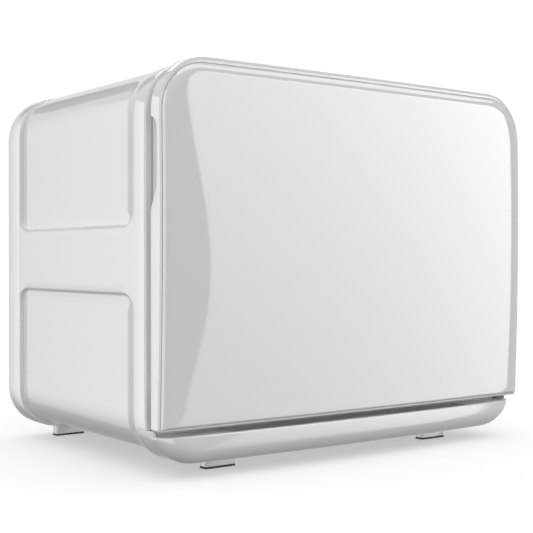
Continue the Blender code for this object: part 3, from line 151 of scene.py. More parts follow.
class FridgeDoorSizes(bpy.types.PropertyGroup):
    """Sizes of the pillowed door."""
    crown_across: length("Crown across", 0.0041, "How far the front swells from side to side")
    crown_up: length("Crown up", 0.00485, "How far the front swells from bottom to top")
    wall: length("Wall", 0.0040, "Thickness of the rim's wall behind the panel")
    lip_side: length("Side lip", 0.0023, "Width of the rim at the sides and the bottom")
    lip_top: length("Top lip", 0.0065, "Width of the rim along the top")
    corner: length("Top corner", 0.055, "Radius of the door's upper corners")
    corner_low: length("Lower corner", 0.0035, "Radius of the door's lower corners")
    gap: length("Shadow gap", 0.0003, "Gap between the rim and the panel")
    panel_side: length("Panel side edge", 0.0095, "Width of the panel's soft edge at the sides")
    panel_top: length("Panel top edge", 0.0110, "Width of the panel's soft edge at the top")
    panel_low: length("Panel lower edge", 0.0025, "Width of the panel's soft edge at the bottom")
    panel_rise: length("Panel rise", 0.0024, "How far the panel stands out inside its soft edge")
    panel_wall: length("Panel wall", 0.0030, "Thickness of the panel")
    rim_round: length("Rim round", 0.0017, "Radius of the rim's front edge")
    rim_round_top: length("Rim round on top", 0.0045, "Width of the rounding along the rim's top")
    pull_corner: length("Pull corner", 0.0145, "Radius of the finger pull's upper corner")
    pull_depth: length("Pull depth", 0.0080, "How far in the finger pull reaches")
    pull_lip: length("Pull lip", 0.0021, "Width of the rim in front of the finger pull")
    seal_width: length("Seal width", 0.011, "Width of the magnetic seal")


class FridgeColours(bpy.types.PropertyGroup):
    """Colours of the fridge's finishes."""
    shell: colour("Cabinet", (0.80, 0.815, 0.83), "Glossy moulded cabinet")
    door: colour("Door", (0.81, 0.825, 0.84), "High-gloss door")
    liner: colour("Lining", (0.84, 0.86, 0.88), "Satin lining of the cold space")
    cover: colour("Back", (0.74, 0.75, 0.76), "Fine-grained back cover")
    seal: colour("Seal", (0.88, 0.89, 0.90), "Soft magnetic seal")
    rubber: colour("Feet pads", (0.022, 0.022, 0.023), "Rubber pads")
    steel: colour("Steel", (0.60, 0.61, 0.63), "Zinc-plated steel")
    aluminium: colour("Aluminium", (0.74, 0.75, 0.77), "Extruded heat sinks")
    dark: colour("Dark plastic", (0.055, 0.058, 0.062), "Grilles and fan rotors")
    black: colour("Black plastic", (0.018, 0.018, 0.019), "Switch, inlet and fan frames")
    board: colour("Board", (0.03, 0.17, 0.07), "Solder mask of the supply board")
    copper: colour("Winding", (0.62, 0.36, 0.16), "Transformer winding")
    nylon: colour("Nylon", (0.78, 0.77, 0.72), "Hinge blocks and the ceramic module")
    glass: colour("Glass", (0.82, 0.93, 0.90), "Shelf glass")
    clear: colour("Clear plastic", (0.90, 0.93, 0.95), "Door bins and lamp lens")


# ---------------------------------------------------------------- shared mesh helpers

def loft(rings, closed=False, cap_ends=True):
    """Skin rings of equally many points. Open ends are closed by a fan round a middle point."""
    bm = bmesh.new()
    rows = [[bm.verts.new(point) for point in ring] for ring in rings]
    pairs = list(zip(rows, rows[1:]))
    if closed:
        pairs.append((rows[-1], rows[0]))
    for first, second in pairs:
        for i in range(len(first)):
            j = (i + 1) % len(first)
            bm.faces.new((first[i], first[j], second[j], second[i]))
    if cap_ends and not closed:
        for row in (rows[0], rows[-1]):
            middle = bm.verts.new(sum((vert.co for vert in row), Vector()) / len(row))
            for i, vert in enumerate(row):
                bm.faces.new((vert, row[(i + 1) % len(row)], middle))
    return bm


def box_mesh(low, high, bm=None):
    """A closed box between two corners."""
    bm = bm or bmesh.new()
    made = bmesh.ops.create_cube(bm, size=1.0)["verts"]
    size = Vector(high) - Vector(low)
    middle = (Vector(high) + Vector(low)) / 2
    bmesh.ops.scale(bm, verts=made, vec=size)
    bmesh.ops.translate(bm, verts=made, vec=middle)
    return bm


def plain_object(name, bm):
    """An object at the origin from a bmesh, which is used up."""
    mesh = bpy.data.meshes.new(name)
    bm.to_mesh(mesh)
    bm.free()
    obj = bpy.data.objects.new(name, mesh)
    bpy.context.scene.collection.objects.link(obj)
    return obj


def shade(obj, sharp):
    """Shade a mesh smooth, apart from edges sharper than an angle in degrees."""
    obj.data.shade_smooth()
    obj.data.set_sharp_from_angle(angle=math.radians(sharp))


def discard(obj):
    """Take an object and its mesh away."""
    mesh = obj.data
    bpy.data.objects.remove(obj, do_unlink=True)
    bpy.data.meshes.remove(mesh)


def mesh_object(name, bm, sharp=SHARP):
    """An object from a bmesh, with its normals out and its faces shaded smooth."""
    bmesh.ops.remove_doubles(bm, verts=bm.verts, dist=MERGE)
    bmesh.ops.recalc_face_normals(bm, faces=bm.faces)
    obj = plain_object(name, bm)
    shade(obj, sharp)
    return obj


def bake_modifiers(obj):
    """Turn the evaluated shape into a plain mesh and take the modifiers off."""
    bpy.context.view_layer.update()
    graph = bpy.context.evaluated_depsgraph_get()
    mesh = bpy.data.meshes.new_from_object(obj.evaluated_get(graph), depsgraph=graph)
    old = obj.data
    obj.modifiers.clear()
    obj.data = mesh
    bpy.data.meshes.remove(old)
    return obj


def combine(obj, bm, operation="DIFFERENCE"):
    """Cut a closed shape from a piece, or join it on, and keep the plain result."""
    cutter = mesh_object(obj.name + "_tool", bm)
    modifier = obj.modifiers.new("combine", "BOOLEAN")
    modifier.operation = operation
    modifier.object = cutter
    bake_modifiers(obj)
    discard(cutter)
    shade(obj, CUT_SHARP)


def settle(obj, body, slot, *nodes):
    """Give a finished piece its finish, body and slot, and hide the CAD nodes that it stands for."""
    obj.data.materials.clear()
    obj.data.materials.append(finishes()[slot])
    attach(obj, body)
    if nodes:
        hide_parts(*nodes)
    return obj


def outline(half, low, high, r_low, r_high, arc=16, across=12, heights=()):
    """A rectangle with round corners, in X and Z. Heights are extra points up both sides."""
    points = []

    def corner(x, z, radius, start):
        for i in range(arc + 1):
            angle = math.radians(start + 90 * i / arc)
            points.append((x + radius * math.cos(angle), z + radius * math.sin(angle)))

    def run(first, last):
        return [first + (last - first) * i / across for i in range(1, across)]

    points.extend((half, z) for z in heights)
    corner(half - r_high, high - r_high, r_high, 0)
    points.extend((x, high) for x in run(half - r_high, r_high - half))
    corner(r_high - half, high - r_high, r_high, 90)
    points.extend((-half, z) for z in reversed(heights))
    corner(r_low - half, low + r_low, r_low, 180)
    points.extend((x, low) for x in run(r_low - half, half - r_low))
    corner(half - r_low, low + r_low, r_low, 270)
    return points


def at(points, y):
    """The points of an outline in one plane across Y."""
    return [(x, y, z) for x, z in points]


def quarter_turn(steps):
    """Sine and cosine of even steps through a right angle."""
    turns = [QUARTER * i / steps for i in range(steps + 1)]
    return [(math.sin(turn), math.cos(turn)) for turn in turns]


def circle(radius, count, x=0.0, z=0.0):
    """Points evenly round a circle."""
    turns = [2 * math.pi * i / count for i in range(count)]
    return [(x + radius * math.cos(turn), z + radius * math.sin(turn)) for turn in turns]


def smooth(value):
    """An S-shaped step from 0 to 1."""
    value = min(max(value, 0.0), 1.0)
    return value * value * (3 - 2 * value)


def cabinet_outline(sizes, inset, heights=(), arc=16):
    """The cabinet's round-cornered section, drawn in all round."""
    return outline(
        HALF - inset, UNDERSIDE + inset, TOP - sizes.crest_drop - inset, sizes.corner_low - inset,
        sizes.corner_top - inset, arc=arc, heights=heights,
    )


# ---------------------------------------------------------------- finishes

def node_group(name, inputs, outputs):
    """An empty shader group with named sockets, and its input and output nodes."""
    group = bpy.data.node_groups.new(name, "ShaderNodeTree")
    for label, kind, default in inputs:
        socket = group.interface.new_socket(name=label, in_out="INPUT", socket_type=kind)
        if default is not None:
            socket.default_value = default
    for label, kind in outputs:
        group.interface.new_socket(name=label, in_out="OUTPUT", socket_type=kind)
    return group, group.nodes.new("NodeGroupInput"), group.nodes.new("NodeGroupOutput")


def add_math(tree, operation, first, second):
    """A Math node whose two inputs are sockets or numbers."""
    node = tree.nodes.new("ShaderNodeMath")
    node.operation = operation
    for socket, value in zip(node.inputs, (first, second)):
        if isinstance(value, (int, float)):
            socket.default_value = value
        else:
            tree.links.new(value, socket)
    return node.outputs["Value"]


def surface_group():
    """Slow tone changes, fine grain and roughness that varies, for every moulded or cast surface."""
    name = "moulded_surface"
    if name in bpy.data.node_groups:
        return bpy.data.node_groups[name]
    group, given, made = node_group(name, [
        ("Vector", "NodeSocketVector", None),
        ("Colour", "NodeSocketColor", (0.8, 0.8, 0.8, 1.0)),
        ("Second Colour", "NodeSocketColor", (0.7, 0.7, 0.7, 1.0)),
        ("Tone Scale", "NodeSocketFloat", 3.0),
        ("Grain Scale", "NodeSocketFloat", 900.0),
        ("Roughness", "NodeSocketFloat", 0.3),
        ("Roughness Spread", "NodeSocketFloat", 0.05),
    ], [("Colour", "NodeSocketColor"), ("Roughness", "NodeSocketFloat"), ("Height", "NodeSocketFloat")])
    tone = group.nodes.new("ShaderNodeTexNoise")
    tone.inputs["Detail"].default_value = 3.0
    grain = group.nodes.new("ShaderNodeTexNoise")
    grain.inputs["Detail"].default_value = 4.0
    for node, label in ((tone, "Tone Scale"), (grain, "Grain Scale")):
        group.links.new(given.outputs["Vector"], node.inputs["Vector"])
        group.links.new(given.outputs[label], node.inputs["Scale"])
    mix = group.nodes.new("ShaderNodeMix")
    mix.data_type = "RGBA"
    group.links.new(tone.outputs["Fac"], mix.inputs["Factor"])
    group.links.new(given.outputs["Colour"], mix.inputs["A"])
    group.links.new(given.outputs["Second Colour"], mix.inputs["B"])
    group.links.new(mix.outputs["Result"], made.inputs["Colour"])
    centred = add_math(group, "SUBTRACT", tone.outputs["Fac"], 0.5)
    spread = add_math(group, "MULTIPLY", centred, given.outputs["Roughness Spread"])
    rough = add_math(group, "ADD", given.outputs["Roughness"], spread)
    group.links.new(rough, made.inputs["Roughness"])
    group.links.new(grain.outputs["Fac"], made.inputs["Height"])
    return group


def finish(name, base, second_share, roughness, spread, tone=3.0, grain=900.0, bump=0.02,
           stretch=(1, 1, 1), **shader_values):
    """A procedural finish. The stretch draws the pattern out along an axis, as brushing does."""
    if name in bpy.data.materials:
        return bpy.data.materials[name]
    material = bpy.data.materials.new(name)
    material.use_nodes = True
    tree = material.node_tree
    shader = tree.nodes["Principled BSDF"]
    place = tree.nodes.new("ShaderNodeTexCoord")
    mapping = tree.nodes.new("ShaderNodeMapping")
    mapping.inputs["Scale"].default_value = stretch
    tree.links.new(place.outputs["Object"], mapping.inputs["Vector"])
    surface = tree.nodes.new("ShaderNodeGroup")
    surface.node_tree = surface_group()
    tree.links.new(mapping.outputs["Vector"], surface.inputs["Vector"])
    for label, value in (
        ("Colour", (*base, 1.0)), ("Second Colour", (*(value * second_share for value in base), 1.0)),
        ("Tone Scale", tone), ("Grain Scale", grain),
        ("Roughness", roughness), ("Roughness Spread", spread),
    ):
        surface.inputs[label].default_value = value
    relief = tree.nodes.new("ShaderNodeBump")
    relief.inputs["Strength"].default_value = bump
    relief.inputs["Distance"].default_value = 0.0002
    tree.links.new(surface.outputs["Colour"], shader.inputs["Base Color"])
    tree.links.new(surface.outputs["Roughness"], shader.inputs["Roughness"])
    tree.links.new(surface.outputs["Height"], relief.inputs["Height"])
    tree.links.new(relief.outputs["Normal"], shader.inputs["Normal"])
    for label, value in shader_values.items():
        shader.inputs[label.replace("_", " ")].default_value = value
    return material


def finishes():
    """Every finish by the name of its material slot."""
    c = bpy.context.scene.fridge_colours
    return {
        "cabinet_white": finish("cabinet_gloss", c.shell, 0.985, 0.08, 0.03, bump=0.008),
        "door_gloss": finish("door_high_gloss", c.door, 0.992, 0.030, 0.01, bump=0.004, IOR=1.52),
        "liner_white": finish("liner_satin", c.liner, 0.975, 0.34, 0.08, grain=1400.0, bump=0.06),
        "cover_white": finish("cover_grained", c.cover, 0.96, 0.48, 0.10, grain=2200.0, bump=0.25),
        "foam": finish("foam_cells", (0.72, 0.62, 0.38), 0.88, 0.92, 0.05, tone=40.0,
                       grain=1500.0, bump=0.6),
        "seal_grey": finish("seal_soft", c.seal, 0.95, 0.58, 0.08, grain=1200.0, bump=0.08),
        "black_rubber": finish("rubber_pad", c.rubber, 1.6, 0.78, 0.10, grain=1600.0, bump=0.30),
        "steel": finish("zinc_plate", c.steel, 0.88, 0.34, 0.14, tone=60.0, bump=0.05, Metallic=1.0),
        "aluminium": finish("extruded_aluminium", c.aluminium, 0.92, 0.36, 0.12, tone=30.0,
                            grain=500.0, bump=0.08, stretch=(1, 1, 0.03), Metallic=1.0),
        "ceramic": finish("module_ceramic", c.nylon, 0.95, 0.55, 0.05, bump=0.05),
        "grey_plastic": finish("dark_moulding", c.dark, 1.25, 0.46, 0.10, grain=1800.0, bump=0.15),
        "black_plastic": finish("black_moulding", c.black, 1.5, 0.42, 0.10, grain=1800.0, bump=0.15),
        "circuit_board": finish("solder_mask", c.board, 0.75, 0.30, 0.10, tone=220.0,
                                grain=700.0, bump=0.10),
        "copper": finish("wound_copper", c.copper, 0.70, 0.35, 0.12, tone=8.0, grain=300.0, bump=0.50,
                         stretch=(1, 1, 14), Metallic=0.8),
        "nylon": finish("natural_nylon", c.nylon, 0.96, 0.45, 0.06, bump=0.06),
        "shelf_glass": finish("shelf_glass_clear", c.glass, 0.99, 0.03, 0.02, bump=0.0,
                              Transmission_Weight=0.92, IOR=1.5),
        "clear_plastic": finish("clear_moulding", c.clear, 0.99, 0.10, 0.03, bump=0.01,
                                Transmission_Weight=0.85, IOR=1.49),
    }


# ---------------------------------------------------------------- repeated detail by geometry nodes

def repeat_tree(name, inputs):
    """A geometry tree with a geometry input, named inputs and a geometry output."""
    tree = bpy.data.node_groups.new(name, "GeometryNodeTree")
    tree.interface.new_socket(name="Geometry", in_out="INPUT", socket_type="NodeSocketGeometry")
    for label, kind in inputs:
        tree.interface.new_socket(name=label, in_out="INPUT", socket_type=kind)
    tree.interface.new_socket(name="Geometry", in_out="OUTPUT", socket_type="NodeSocketGeometry")
    return tree, tree.nodes.new("NodeGroupInput"), tree.nodes.new("NodeGroupOutput")


def instances_tree():
    """Put a copy of a small shape on every point of the input, turned as the points say."""
    name = "copies_on_points"
    if name in bpy.data.node_groups:
        return bpy.data.node_groups[name]
    tree, given, made = repeat_tree(name, [
        ("Shape", "NodeSocketObject"), ("Size", "NodeSocketVector"), ("Tilt", "NodeSocketVector"),
        ("Material", "NodeSocketMaterial"),
    ])
    shape = tree.nodes.new("GeometryNodeObjectInfo")
    tree.links.new(given.outputs["Shape"], shape.inputs["Object"])
    copies = tree.nodes.new("GeometryNodeInstanceOnPoints")
    tree.links.new(given.outputs["Geometry"], copies.inputs["Points"])
    tree.links.new(shape.outputs["Geometry"], copies.inputs["Instance"])
    tree.links.new(given.outputs["Size"], copies.inputs["Scale"])
    turn = tree.nodes.new("FunctionNodeEulerToRotation")
    tree.links.new(given.outputs["Tilt"], turn.inputs["Euler"])
    tree.links.new(turn.outputs["Rotation"], copies.inputs["Rotation"])
    realise = tree.nodes.new("GeometryNodeRealizeInstances")
    tree.links.new(copies.outputs["Instances"], realise.inputs["Geometry"])
    paint = tree.nodes.new("GeometryNodeSetMaterial")
    tree.links.new(realise.outputs["Geometry"], paint.inputs["Geometry"])
    tree.links.new(given.outputs["Material"], paint.inputs["Material"])
    tree.links.new(paint.outputs["Geometry"], made.inputs["Geometry"])
    return tree


def copies(name, shape, places, material, size=(1, 1, 1), tilt=(0, 0, 0)):
    """One mesh made of a small shape repeated at places, by the shared geometry tree."""
    points = bpy.data.meshes.new(name)
    points.from_pydata([tuple(place) for place in places], [], [])
    obj = bpy.data.objects.new(name, points)
    bpy.context.scene.collection.objects.link(obj)
    modifier = obj.modifiers.new("copies", "NODES")
    modifier.node_group = instances_tree()
    values = {"Shape": shape, "Size": size, "Tilt": tilt, "Material": material}
    for item in modifier.node_group.interface.items_tree:
        if item.in_out == "INPUT" and item.name in values:
            modifier[item.identifier] = values[item.name]
    bake_modifiers(obj)
    discard(shape)
    shade(obj, CUT_SHARP)
    return obj


def rounded_bar(name, size, bevel):
    """A bar about the origin with bevelled edges."""
    bm = box_mesh([-value / 2 for value in size], [value / 2 for value in size])
    bmesh.ops.bevel(
        bm, geom=list(bm.edges), offset=bevel, segments=2, affect="EDGES", profile=0.5,
    )
    return mesh_object(name, bm, BLOCK_SHARP)


def screw_head(name, radius, height):
    """A domed cross-head screw about the origin, facing +Y."""
    count = 24
    shoulder = 0.35      # share of the height that stands straight under the dome
    rings = [at(circle(radius, count), 0.0)]
    for sine, cosine in quarter_turn(6)[:-1]:
        rings.append(at(circle(radius * cosine, count), height * (shoulder + (1 - shoulder) * sine)))
    head = mesh_object(name, loft(rings))
    arm = radius * 0.62
    blade = radius * 0.13
    bottom, above = height * 0.45, height * 1.5
    for first, second in ((arm, blade), (blade, arm)):
        combine(head, box_mesh((-first, bottom, -second), (first, above, second)))
    return head


# ---------------------------------------------------------------- the cabinet

PAST_TURN = 0.002        # length past a panel's rounding that is still cut finely
PANEL_OVERRUN = 0.004    # how far a panel would run on behind the rear frame's front


def panel_share(sizes, y, z):
    """How far a side panel is sunk at one place, from 0 to 1. Its front edge is the softest."""
    inside = max(sizes.band_low - z, z - sizes.band_high)
    rise = max(1 - inside / sizes.recess_turn, 0.0)
    front = max(1 - (y - DOOR_EDGE - sizes.recess_start) / sizes.recess_front, 0.0)
    back = max(1 - (SHELL_BACK + PANEL_OVERRUN - y) / sizes.recess_back, 0.0)
    run = max(front, back)
    reach = math.hypot(rise, run)
    if reach == 0.0:
        return 1.0
    soft = (front / reach) ** 2 if front > 0 else 0.0
    width = sizes.recess_edge + (sizes.recess_fade - sizes.recess_edge) * soft
    return smooth((1 - reach) * sizes.recess_turn / width)


def shell_heights(sizes):
    """Heights of the points up the shell's sides, close together round the panels' corners."""
    foot = UNDERSIDE + sizes.corner_low
    crest = TOP - sizes.crest_drop - sizes.corner_top
    zone = sizes.recess_turn + sizes.recess_edge
    spans = (
        (foot, sizes.band_low - zone, 10), (sizes.band_low - zone, sizes.band_low, 30),
        (sizes.band_low, sizes.band_high, 8), (sizes.band_high, sizes.band_high + zone, 30),
        (sizes.band_high + zone, crest, 10),
    )
    heights = []
    for low, high, steps in spans:
        heights += [low + (high - low) * i / steps for i in range(1, steps + 1)]
    return heights[:-1]


def shell_section(sizes, y, inset=0.0, sunk=True):
    """One section of the shell, with the side panels sunk in."""
    crest = TOP - sizes.crest_drop - sizes.corner_top
    heights = shell_heights(sizes)
    full = cabinet_outline(sizes, inset, heights)
    deep = cabinet_outline(sizes, inset + sizes.panel_sink, heights)
    flat = sizes.top_sink / sizes.panel_sink
    ring = []
    for (x, z), (inner_x, inner_z) in zip(full, deep):
        share = panel_share(sizes, y, z) if sunk else 0.0
        share *= 1 - (1 - flat) * smooth((z - crest) / sizes.corner_top)
        ring.append((x + (inner_x - x) * share, y, z + (inner_z - z) * share))
    return ring


def shell_stations(sizes):
    """Where the shell's sections lie, close together at both ends of the panels."""
    start = DOOR_EDGE + sizes.recess_start
    turned = start + sizes.recess_front + PAST_TURN
    back = SHELL_BACK - sizes.recess_back
    stations = [start]
    for first, last, steps in ((start, turned, 26), (turned, back, 6), (back, SHELL_BACK, 20)):
        stations += [first + (last - first) * i / steps for i in range(1, steps + 1)]
    return stations


class FRIDGE_OT_cabinet(bpy.types.Operator):
    """Build the cabinet's outer shell with its sunk side panels"""
    bl_idname = "fridge.cabinet"
    bl_label = "Cabinet shell"

    def execute(self, context):
        sizes = context.scene.fridge_cabinet
        edge = sizes.edge_round
        rings = []
        for sine, cosine in quarter_turn(4):
            rings.append(shell_section(sizes, FACE + edge * (1 - cosine), edge * (1 - sine)))
        rings += [shell_section(sizes, y) for y in shell_stations(sizes)]
        wall = sizes.panel_sink + sizes.wall
        for inset, y in (
            (wall, SHELL_BACK), (wall, FACE + sizes.lip_thick),
            (sizes.lip, FACE + sizes.lip_thick), (sizes.lip, FACE),
        ):
            rings.append(shell_section(sizes, y, inset, sunk=False))
        shell = mesh_object("cabinet_shell", loft(rings, closed=True))
        notch_back = DOOR_EDGE + sizes.wing_length + GAP
        combine(shell, box_mesh((-FAR, -FAR, -FAR), (FAR, notch_back, sizes.wing_top + GAP)))
        settle(shell, "cabinet", "cabinet_white", "outer_shell")
        return {"FINISHED"}


class FRIDGE_OT_rear_frame(bpy.types.Operator):
    """Build the frame round the back, standing proud of the sunk panels"""
    bl_idname = "fridge.rear_frame"
    bl_label = "Rear frame"

    def execute(self, context):
        sizes = context.scene.fridge_cabinet
        front, back = RING_LOW.y, RING_HIGH.y
        seat = COVER_LOW.y - GAP
        small = 0.0008
        bevel = 0.0006
        profile = [
            (small * (1 - sine), front + small * (1 - cosine)) for sine, cosine in quarter_turn(3)
        ]
        profile += [
            (sizes.ring_round * (1 - cosine), back - sizes.ring_round * (1 - sine))
            for sine, cosine in quarter_turn(8)
        ]
        profile += [
            (sizes.ring_seat - bevel, back), (sizes.ring_seat, back - bevel),
            (sizes.ring_seat, seat), (sizes.ring_wall, seat), (sizes.ring_wall, front),
        ]
        rings = [at(cabinet_outline(sizes, inset, arc=24), y) for inset, y in profile]
        ring = mesh_object("rear_frame", loft(rings, closed=True))
        settle(ring, "cabinet", "cabinet_white", "rear_ring")
        return {"FINISHED"}


def chin_top(sizes):
    """Height of the bottom trim's upper edge, a clearance under the top of the intake slot."""
    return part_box("intake_grille")[0].z + sizes.slot_depth - GAP


def chin_section(sizes, x):
    """The bottom trim's section at one place across."""
    beyond = max(abs(x) - (HALF - sizes.corner_low), 0.0)
    low = UNDERSIDE + sizes.corner_low - math.sqrt(sizes.corner_low ** 2 - beyond ** 2)
    turn = min(max(abs(x) - (HALF - sizes.chin_end), 0.0) / sizes.chin_end, 1.0)
    front = DOOR_EDGE - sizes.chin_bow * (1 - (x / HALF) ** 2)
    front += sizes.chin_setback * (1 - math.sqrt(1 - turn ** 2))
    top = chin_top(sizes)
    height = top - low
    radius = min(sizes.chin_round, 0.75 * height)
    edge = min(0.0018, 0.12 * height)
    back = FACE - GAP
    points = [(back, top), (back, low)]
    points += [
        (front + radius * (1 - sine), low + radius * (1 - cosine)) for sine, cosine in quarter_turn(14)
    ]
    points += [
        (front + edge * (1 - cosine), top - edge * (1 - sine)) for sine, cosine in quarter_turn(4)
    ]
    return [(x, y, z) for y, z in points]


class FRIDGE_OT_chin(bpy.types.Operator):
    """Build the bowed bottom trim, its wings and the slotted intake grille"""
    bl_idname = "fridge.chin"
    bl_label = "Bottom trim"

    def execute(self, context):
        sizes = context.scene.fridge_cabinet
        top = chin_top(sizes)
        rise = UNDERSIDE + sizes.corner_low - top
        reach = HALF - sizes.corner_low + math.sqrt(sizes.corner_low ** 2 - rise ** 2) - 0.001
        straight = HALF - sizes.chin_end
        stations = [straight * i / 24 for i in range(25)]
        stations += [straight + (reach - straight) * sine for sine, cosine in quarter_turn(20)[1:]]
        places = [-x for x in reversed(stations[1:])] + stations
        chin = mesh_object("bottom_trim", loft([chin_section(sizes, x) for x in places]))
        start = DOOR_BACK + GAP
        end = DOOR_EDGE + sizes.wing_length
        clearance = 0.0002
        wing = mesh_object("wing", loft([
            at(cabinet_outline(sizes, inset), y) for inset, y in (
                (clearance, start), (clearance, end), (sizes.wing_wall, end), (sizes.wing_wall, start),
            )
        ], closed=True))
        combine(wing, box_mesh((-FAR, -FAR, sizes.wing_top), (FAR, FAR, FAR)))
        joined = bmesh.new()
        joined.from_mesh(wing.data)
        discard(wing)
        combine(chin, joined, "UNION")
        slot_front = DOOR_EDGE - 0.001
        slot_back = FACE - 0.002
        slot_low = top - sizes.slot_depth
        combine(chin, box_mesh(
            (-sizes.slot_half, slot_front, slot_low),
            (sizes.slot_half, slot_back, top + sizes.slot_depth),
        ))
        settle(chin, "cabinet", "cabinet_white", "chin_trim")

        low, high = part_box("intake_grille")
        count = 72
        pitch = (high.x - low.x) / count
        bar_share = 0.45
        bar = rounded_bar("bar", (pitch * bar_share, high.y - low.y, high.z - low.z), 0.0003)
        middle_y = (low.y + high.y) / 2
        middle_z = (low.z + high.z) / 2
        places = [(low.x + (i + 0.5) * pitch, middle_y, middle_z) for i in range(count)]
        grille = copies("intake_bars", bar, places, finishes()["grey_plastic"])
        settle(grille, "cabinet", "grey_plastic", "intake_grille")
        rails = bmesh.new()
        rail_width, rail_height = 0.002, 0.0012
        for front in (low.y, high.y - rail_width):
            box_mesh((low.x, front, low.z), (high.x, front + rail_width, low.z + rail_height), rails)
        rail = mesh_object("intake_rails", rails)
        settle(rail, "cabinet", "grey_plastic")
        return {"FINISHED"}


def rounded_block(low, high, corner):
    """A box whose upright edges are rounded."""
    bm = box_mesh(low, high)
    edges = [e for e in bm.edges if abs(e.verts[0].co.z - e.verts[1].co.z) > 1e-4]
    bmesh.ops.bevel(bm, geom=edges, offset=corner, segments=5, affect="EDGES", profile=0.5)
    return bm


class FRIDGE_OT_feet(bpy.types.Operator):
    """Build the four feet with rounded edges and their ribbed rubber pads"""
    bl_idname = "fridge.feet"
    bl_label = "Feet"

    def execute(self, context):
        for place in ("front_left", "front_right", "rear_left", "rear_right"):
            low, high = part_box("foot_" + place)
            bm = rounded_block(low, high, 0.0025)
            rim = [e for e in bm.edges if e.is_manifold and e.calc_face_angle(0) > 1.0]
            bmesh.ops.bevel(bm, geom=rim, offset=0.0004, segments=2, affect="EDGES", profile=0.5)
            foot = mesh_object("foot_body_" + place, bm, BLOCK_SHARP)
            settle(foot, "cabinet", "cabinet_white", "foot_" + place)
            low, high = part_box("foot_pad_" + place)
            pad = mesh_object("foot_rubber_" + place, rounded_block(low, high, 0.0028), BLOCK_SHARP)
            ribs = 8
            half, over, deep = 0.0004, 0.001, 0.0006     # a groove's half width, overrun and depth
            for i in range(1, ribs):
                x = low.x + (high.x - low.x) * i / ribs
                combine(pad, box_mesh(
                    (x - half, low.y - over, low.z - over), (x + half, high.y + over, low.z + deep),
                ))
            settle(pad, "cabinet", "black_rubber", "foot_pad_" + place)
        return {"FINISHED"}


# ---------------------------------------------------------------- the door

PULL_MARGIN = 0.003      # solid left above and below the finger pull's space
PULL_TAPER = 0.4         # share of the pull's height over which its foot runs out
PULL_LEAST = 0.00004     # depth left at the foot, so that the space stays closed
PULL_TURN = 0.005        # longest rounding at the pull's front
PIN_HOLE = 0.0031        # radius of the room for the lower hinge pin

def door_front(crown, x, z):
    """Where the pillowed front of the door lies."""
    across = crown.crown_across * (1 - (x / HALF) ** 2)
    up = crown.crown_up * (1 - ((z - CROWN_Z) / (CROWN_Z - DOOR_LOW)) ** 2)
    return DOOR_EDGE - across - up


def door_outline(crown, side, low, top, arc=20):
    """The door's section, drawn in by its own margin at the sides, the bottom and the top."""
    bottom = DOOR_LOW + low
    crest = TOP - top
    r_top = crown.corner - (side + top) / 2
    r_low = max(crown.corner_low - side, 0.0003)
    steps = 20
    first, last = bottom + r_low, crest - r_top
    heights = [first + (last - first) * i / steps for i in range(1, steps)]
    return outline(HALF - side, bottom, crest, r_low, r_top, arc=arc, across=28, heights=heights)


def on_front(crown, points, behind):
    """The points of an outline, a distance behind the pillowed front."""
    return [(x, door_front(crown, x, z) + behind, z) for x, z in points]


def scaled(points, factor):
    """An outline drawn in towards the middle of the door."""
    return [(x * factor, CROWN_Z + (z - CROWN_Z) * factor) for x, z in points]


def pull_space(crown):
    """The space that the fingers reach into: an arch at its top, running out to nothing at its foot."""
    low, high = PULL_LOW.z + PULL_MARGIN, PULL_HIGH.z - PULL_MARGIN
    front = DOOR_EDGE + crown.pull_lip
    back = (DOOR_BACK + FACE) / 2
    radius = crown.pull_corner
    outside = -HALF - 0.0005
    steps = 40
    rings = []
    for i in range(steps + 1):
        z = high - (high - low) * (1 - math.cos(math.pi * i / steps)) / 2
        depth = crown.pull_depth * smooth((z - low) / (high - low) / PULL_TAPER) + PULL_LEAST
        turn = min((high - z) / radius, 1.0)
        start = front + radius * (1 - math.sqrt(1 - (1 - turn) ** 2))
        ring = [(outside, back, z), (outside, start, z)]
        bend = min(depth, PULL_TURN)
        ring += [
            (-HALF + depth * sine, start + bend * (1 - cosine), z) for sine, cosine in quarter_turn(8)
        ]
        ring.append((-HALF + depth, back, z))
        rings.append(ring)
    return loft(rings)


def pin_space():
    """Room for the lower hinge pin to pass through the rim."""
    low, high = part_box("hinge_pin_bottom")
    centre_x, centre_y = (low.x + high.x) / 2, (low.y + high.y) / 2
    hole = circle(PIN_HOLE, 32, centre_x, centre_y)
    return loft([[(x, y, z) for x, y in hole] for z in (DOOR_LOW - 0.001, DOOR_LOW + 0.006)])


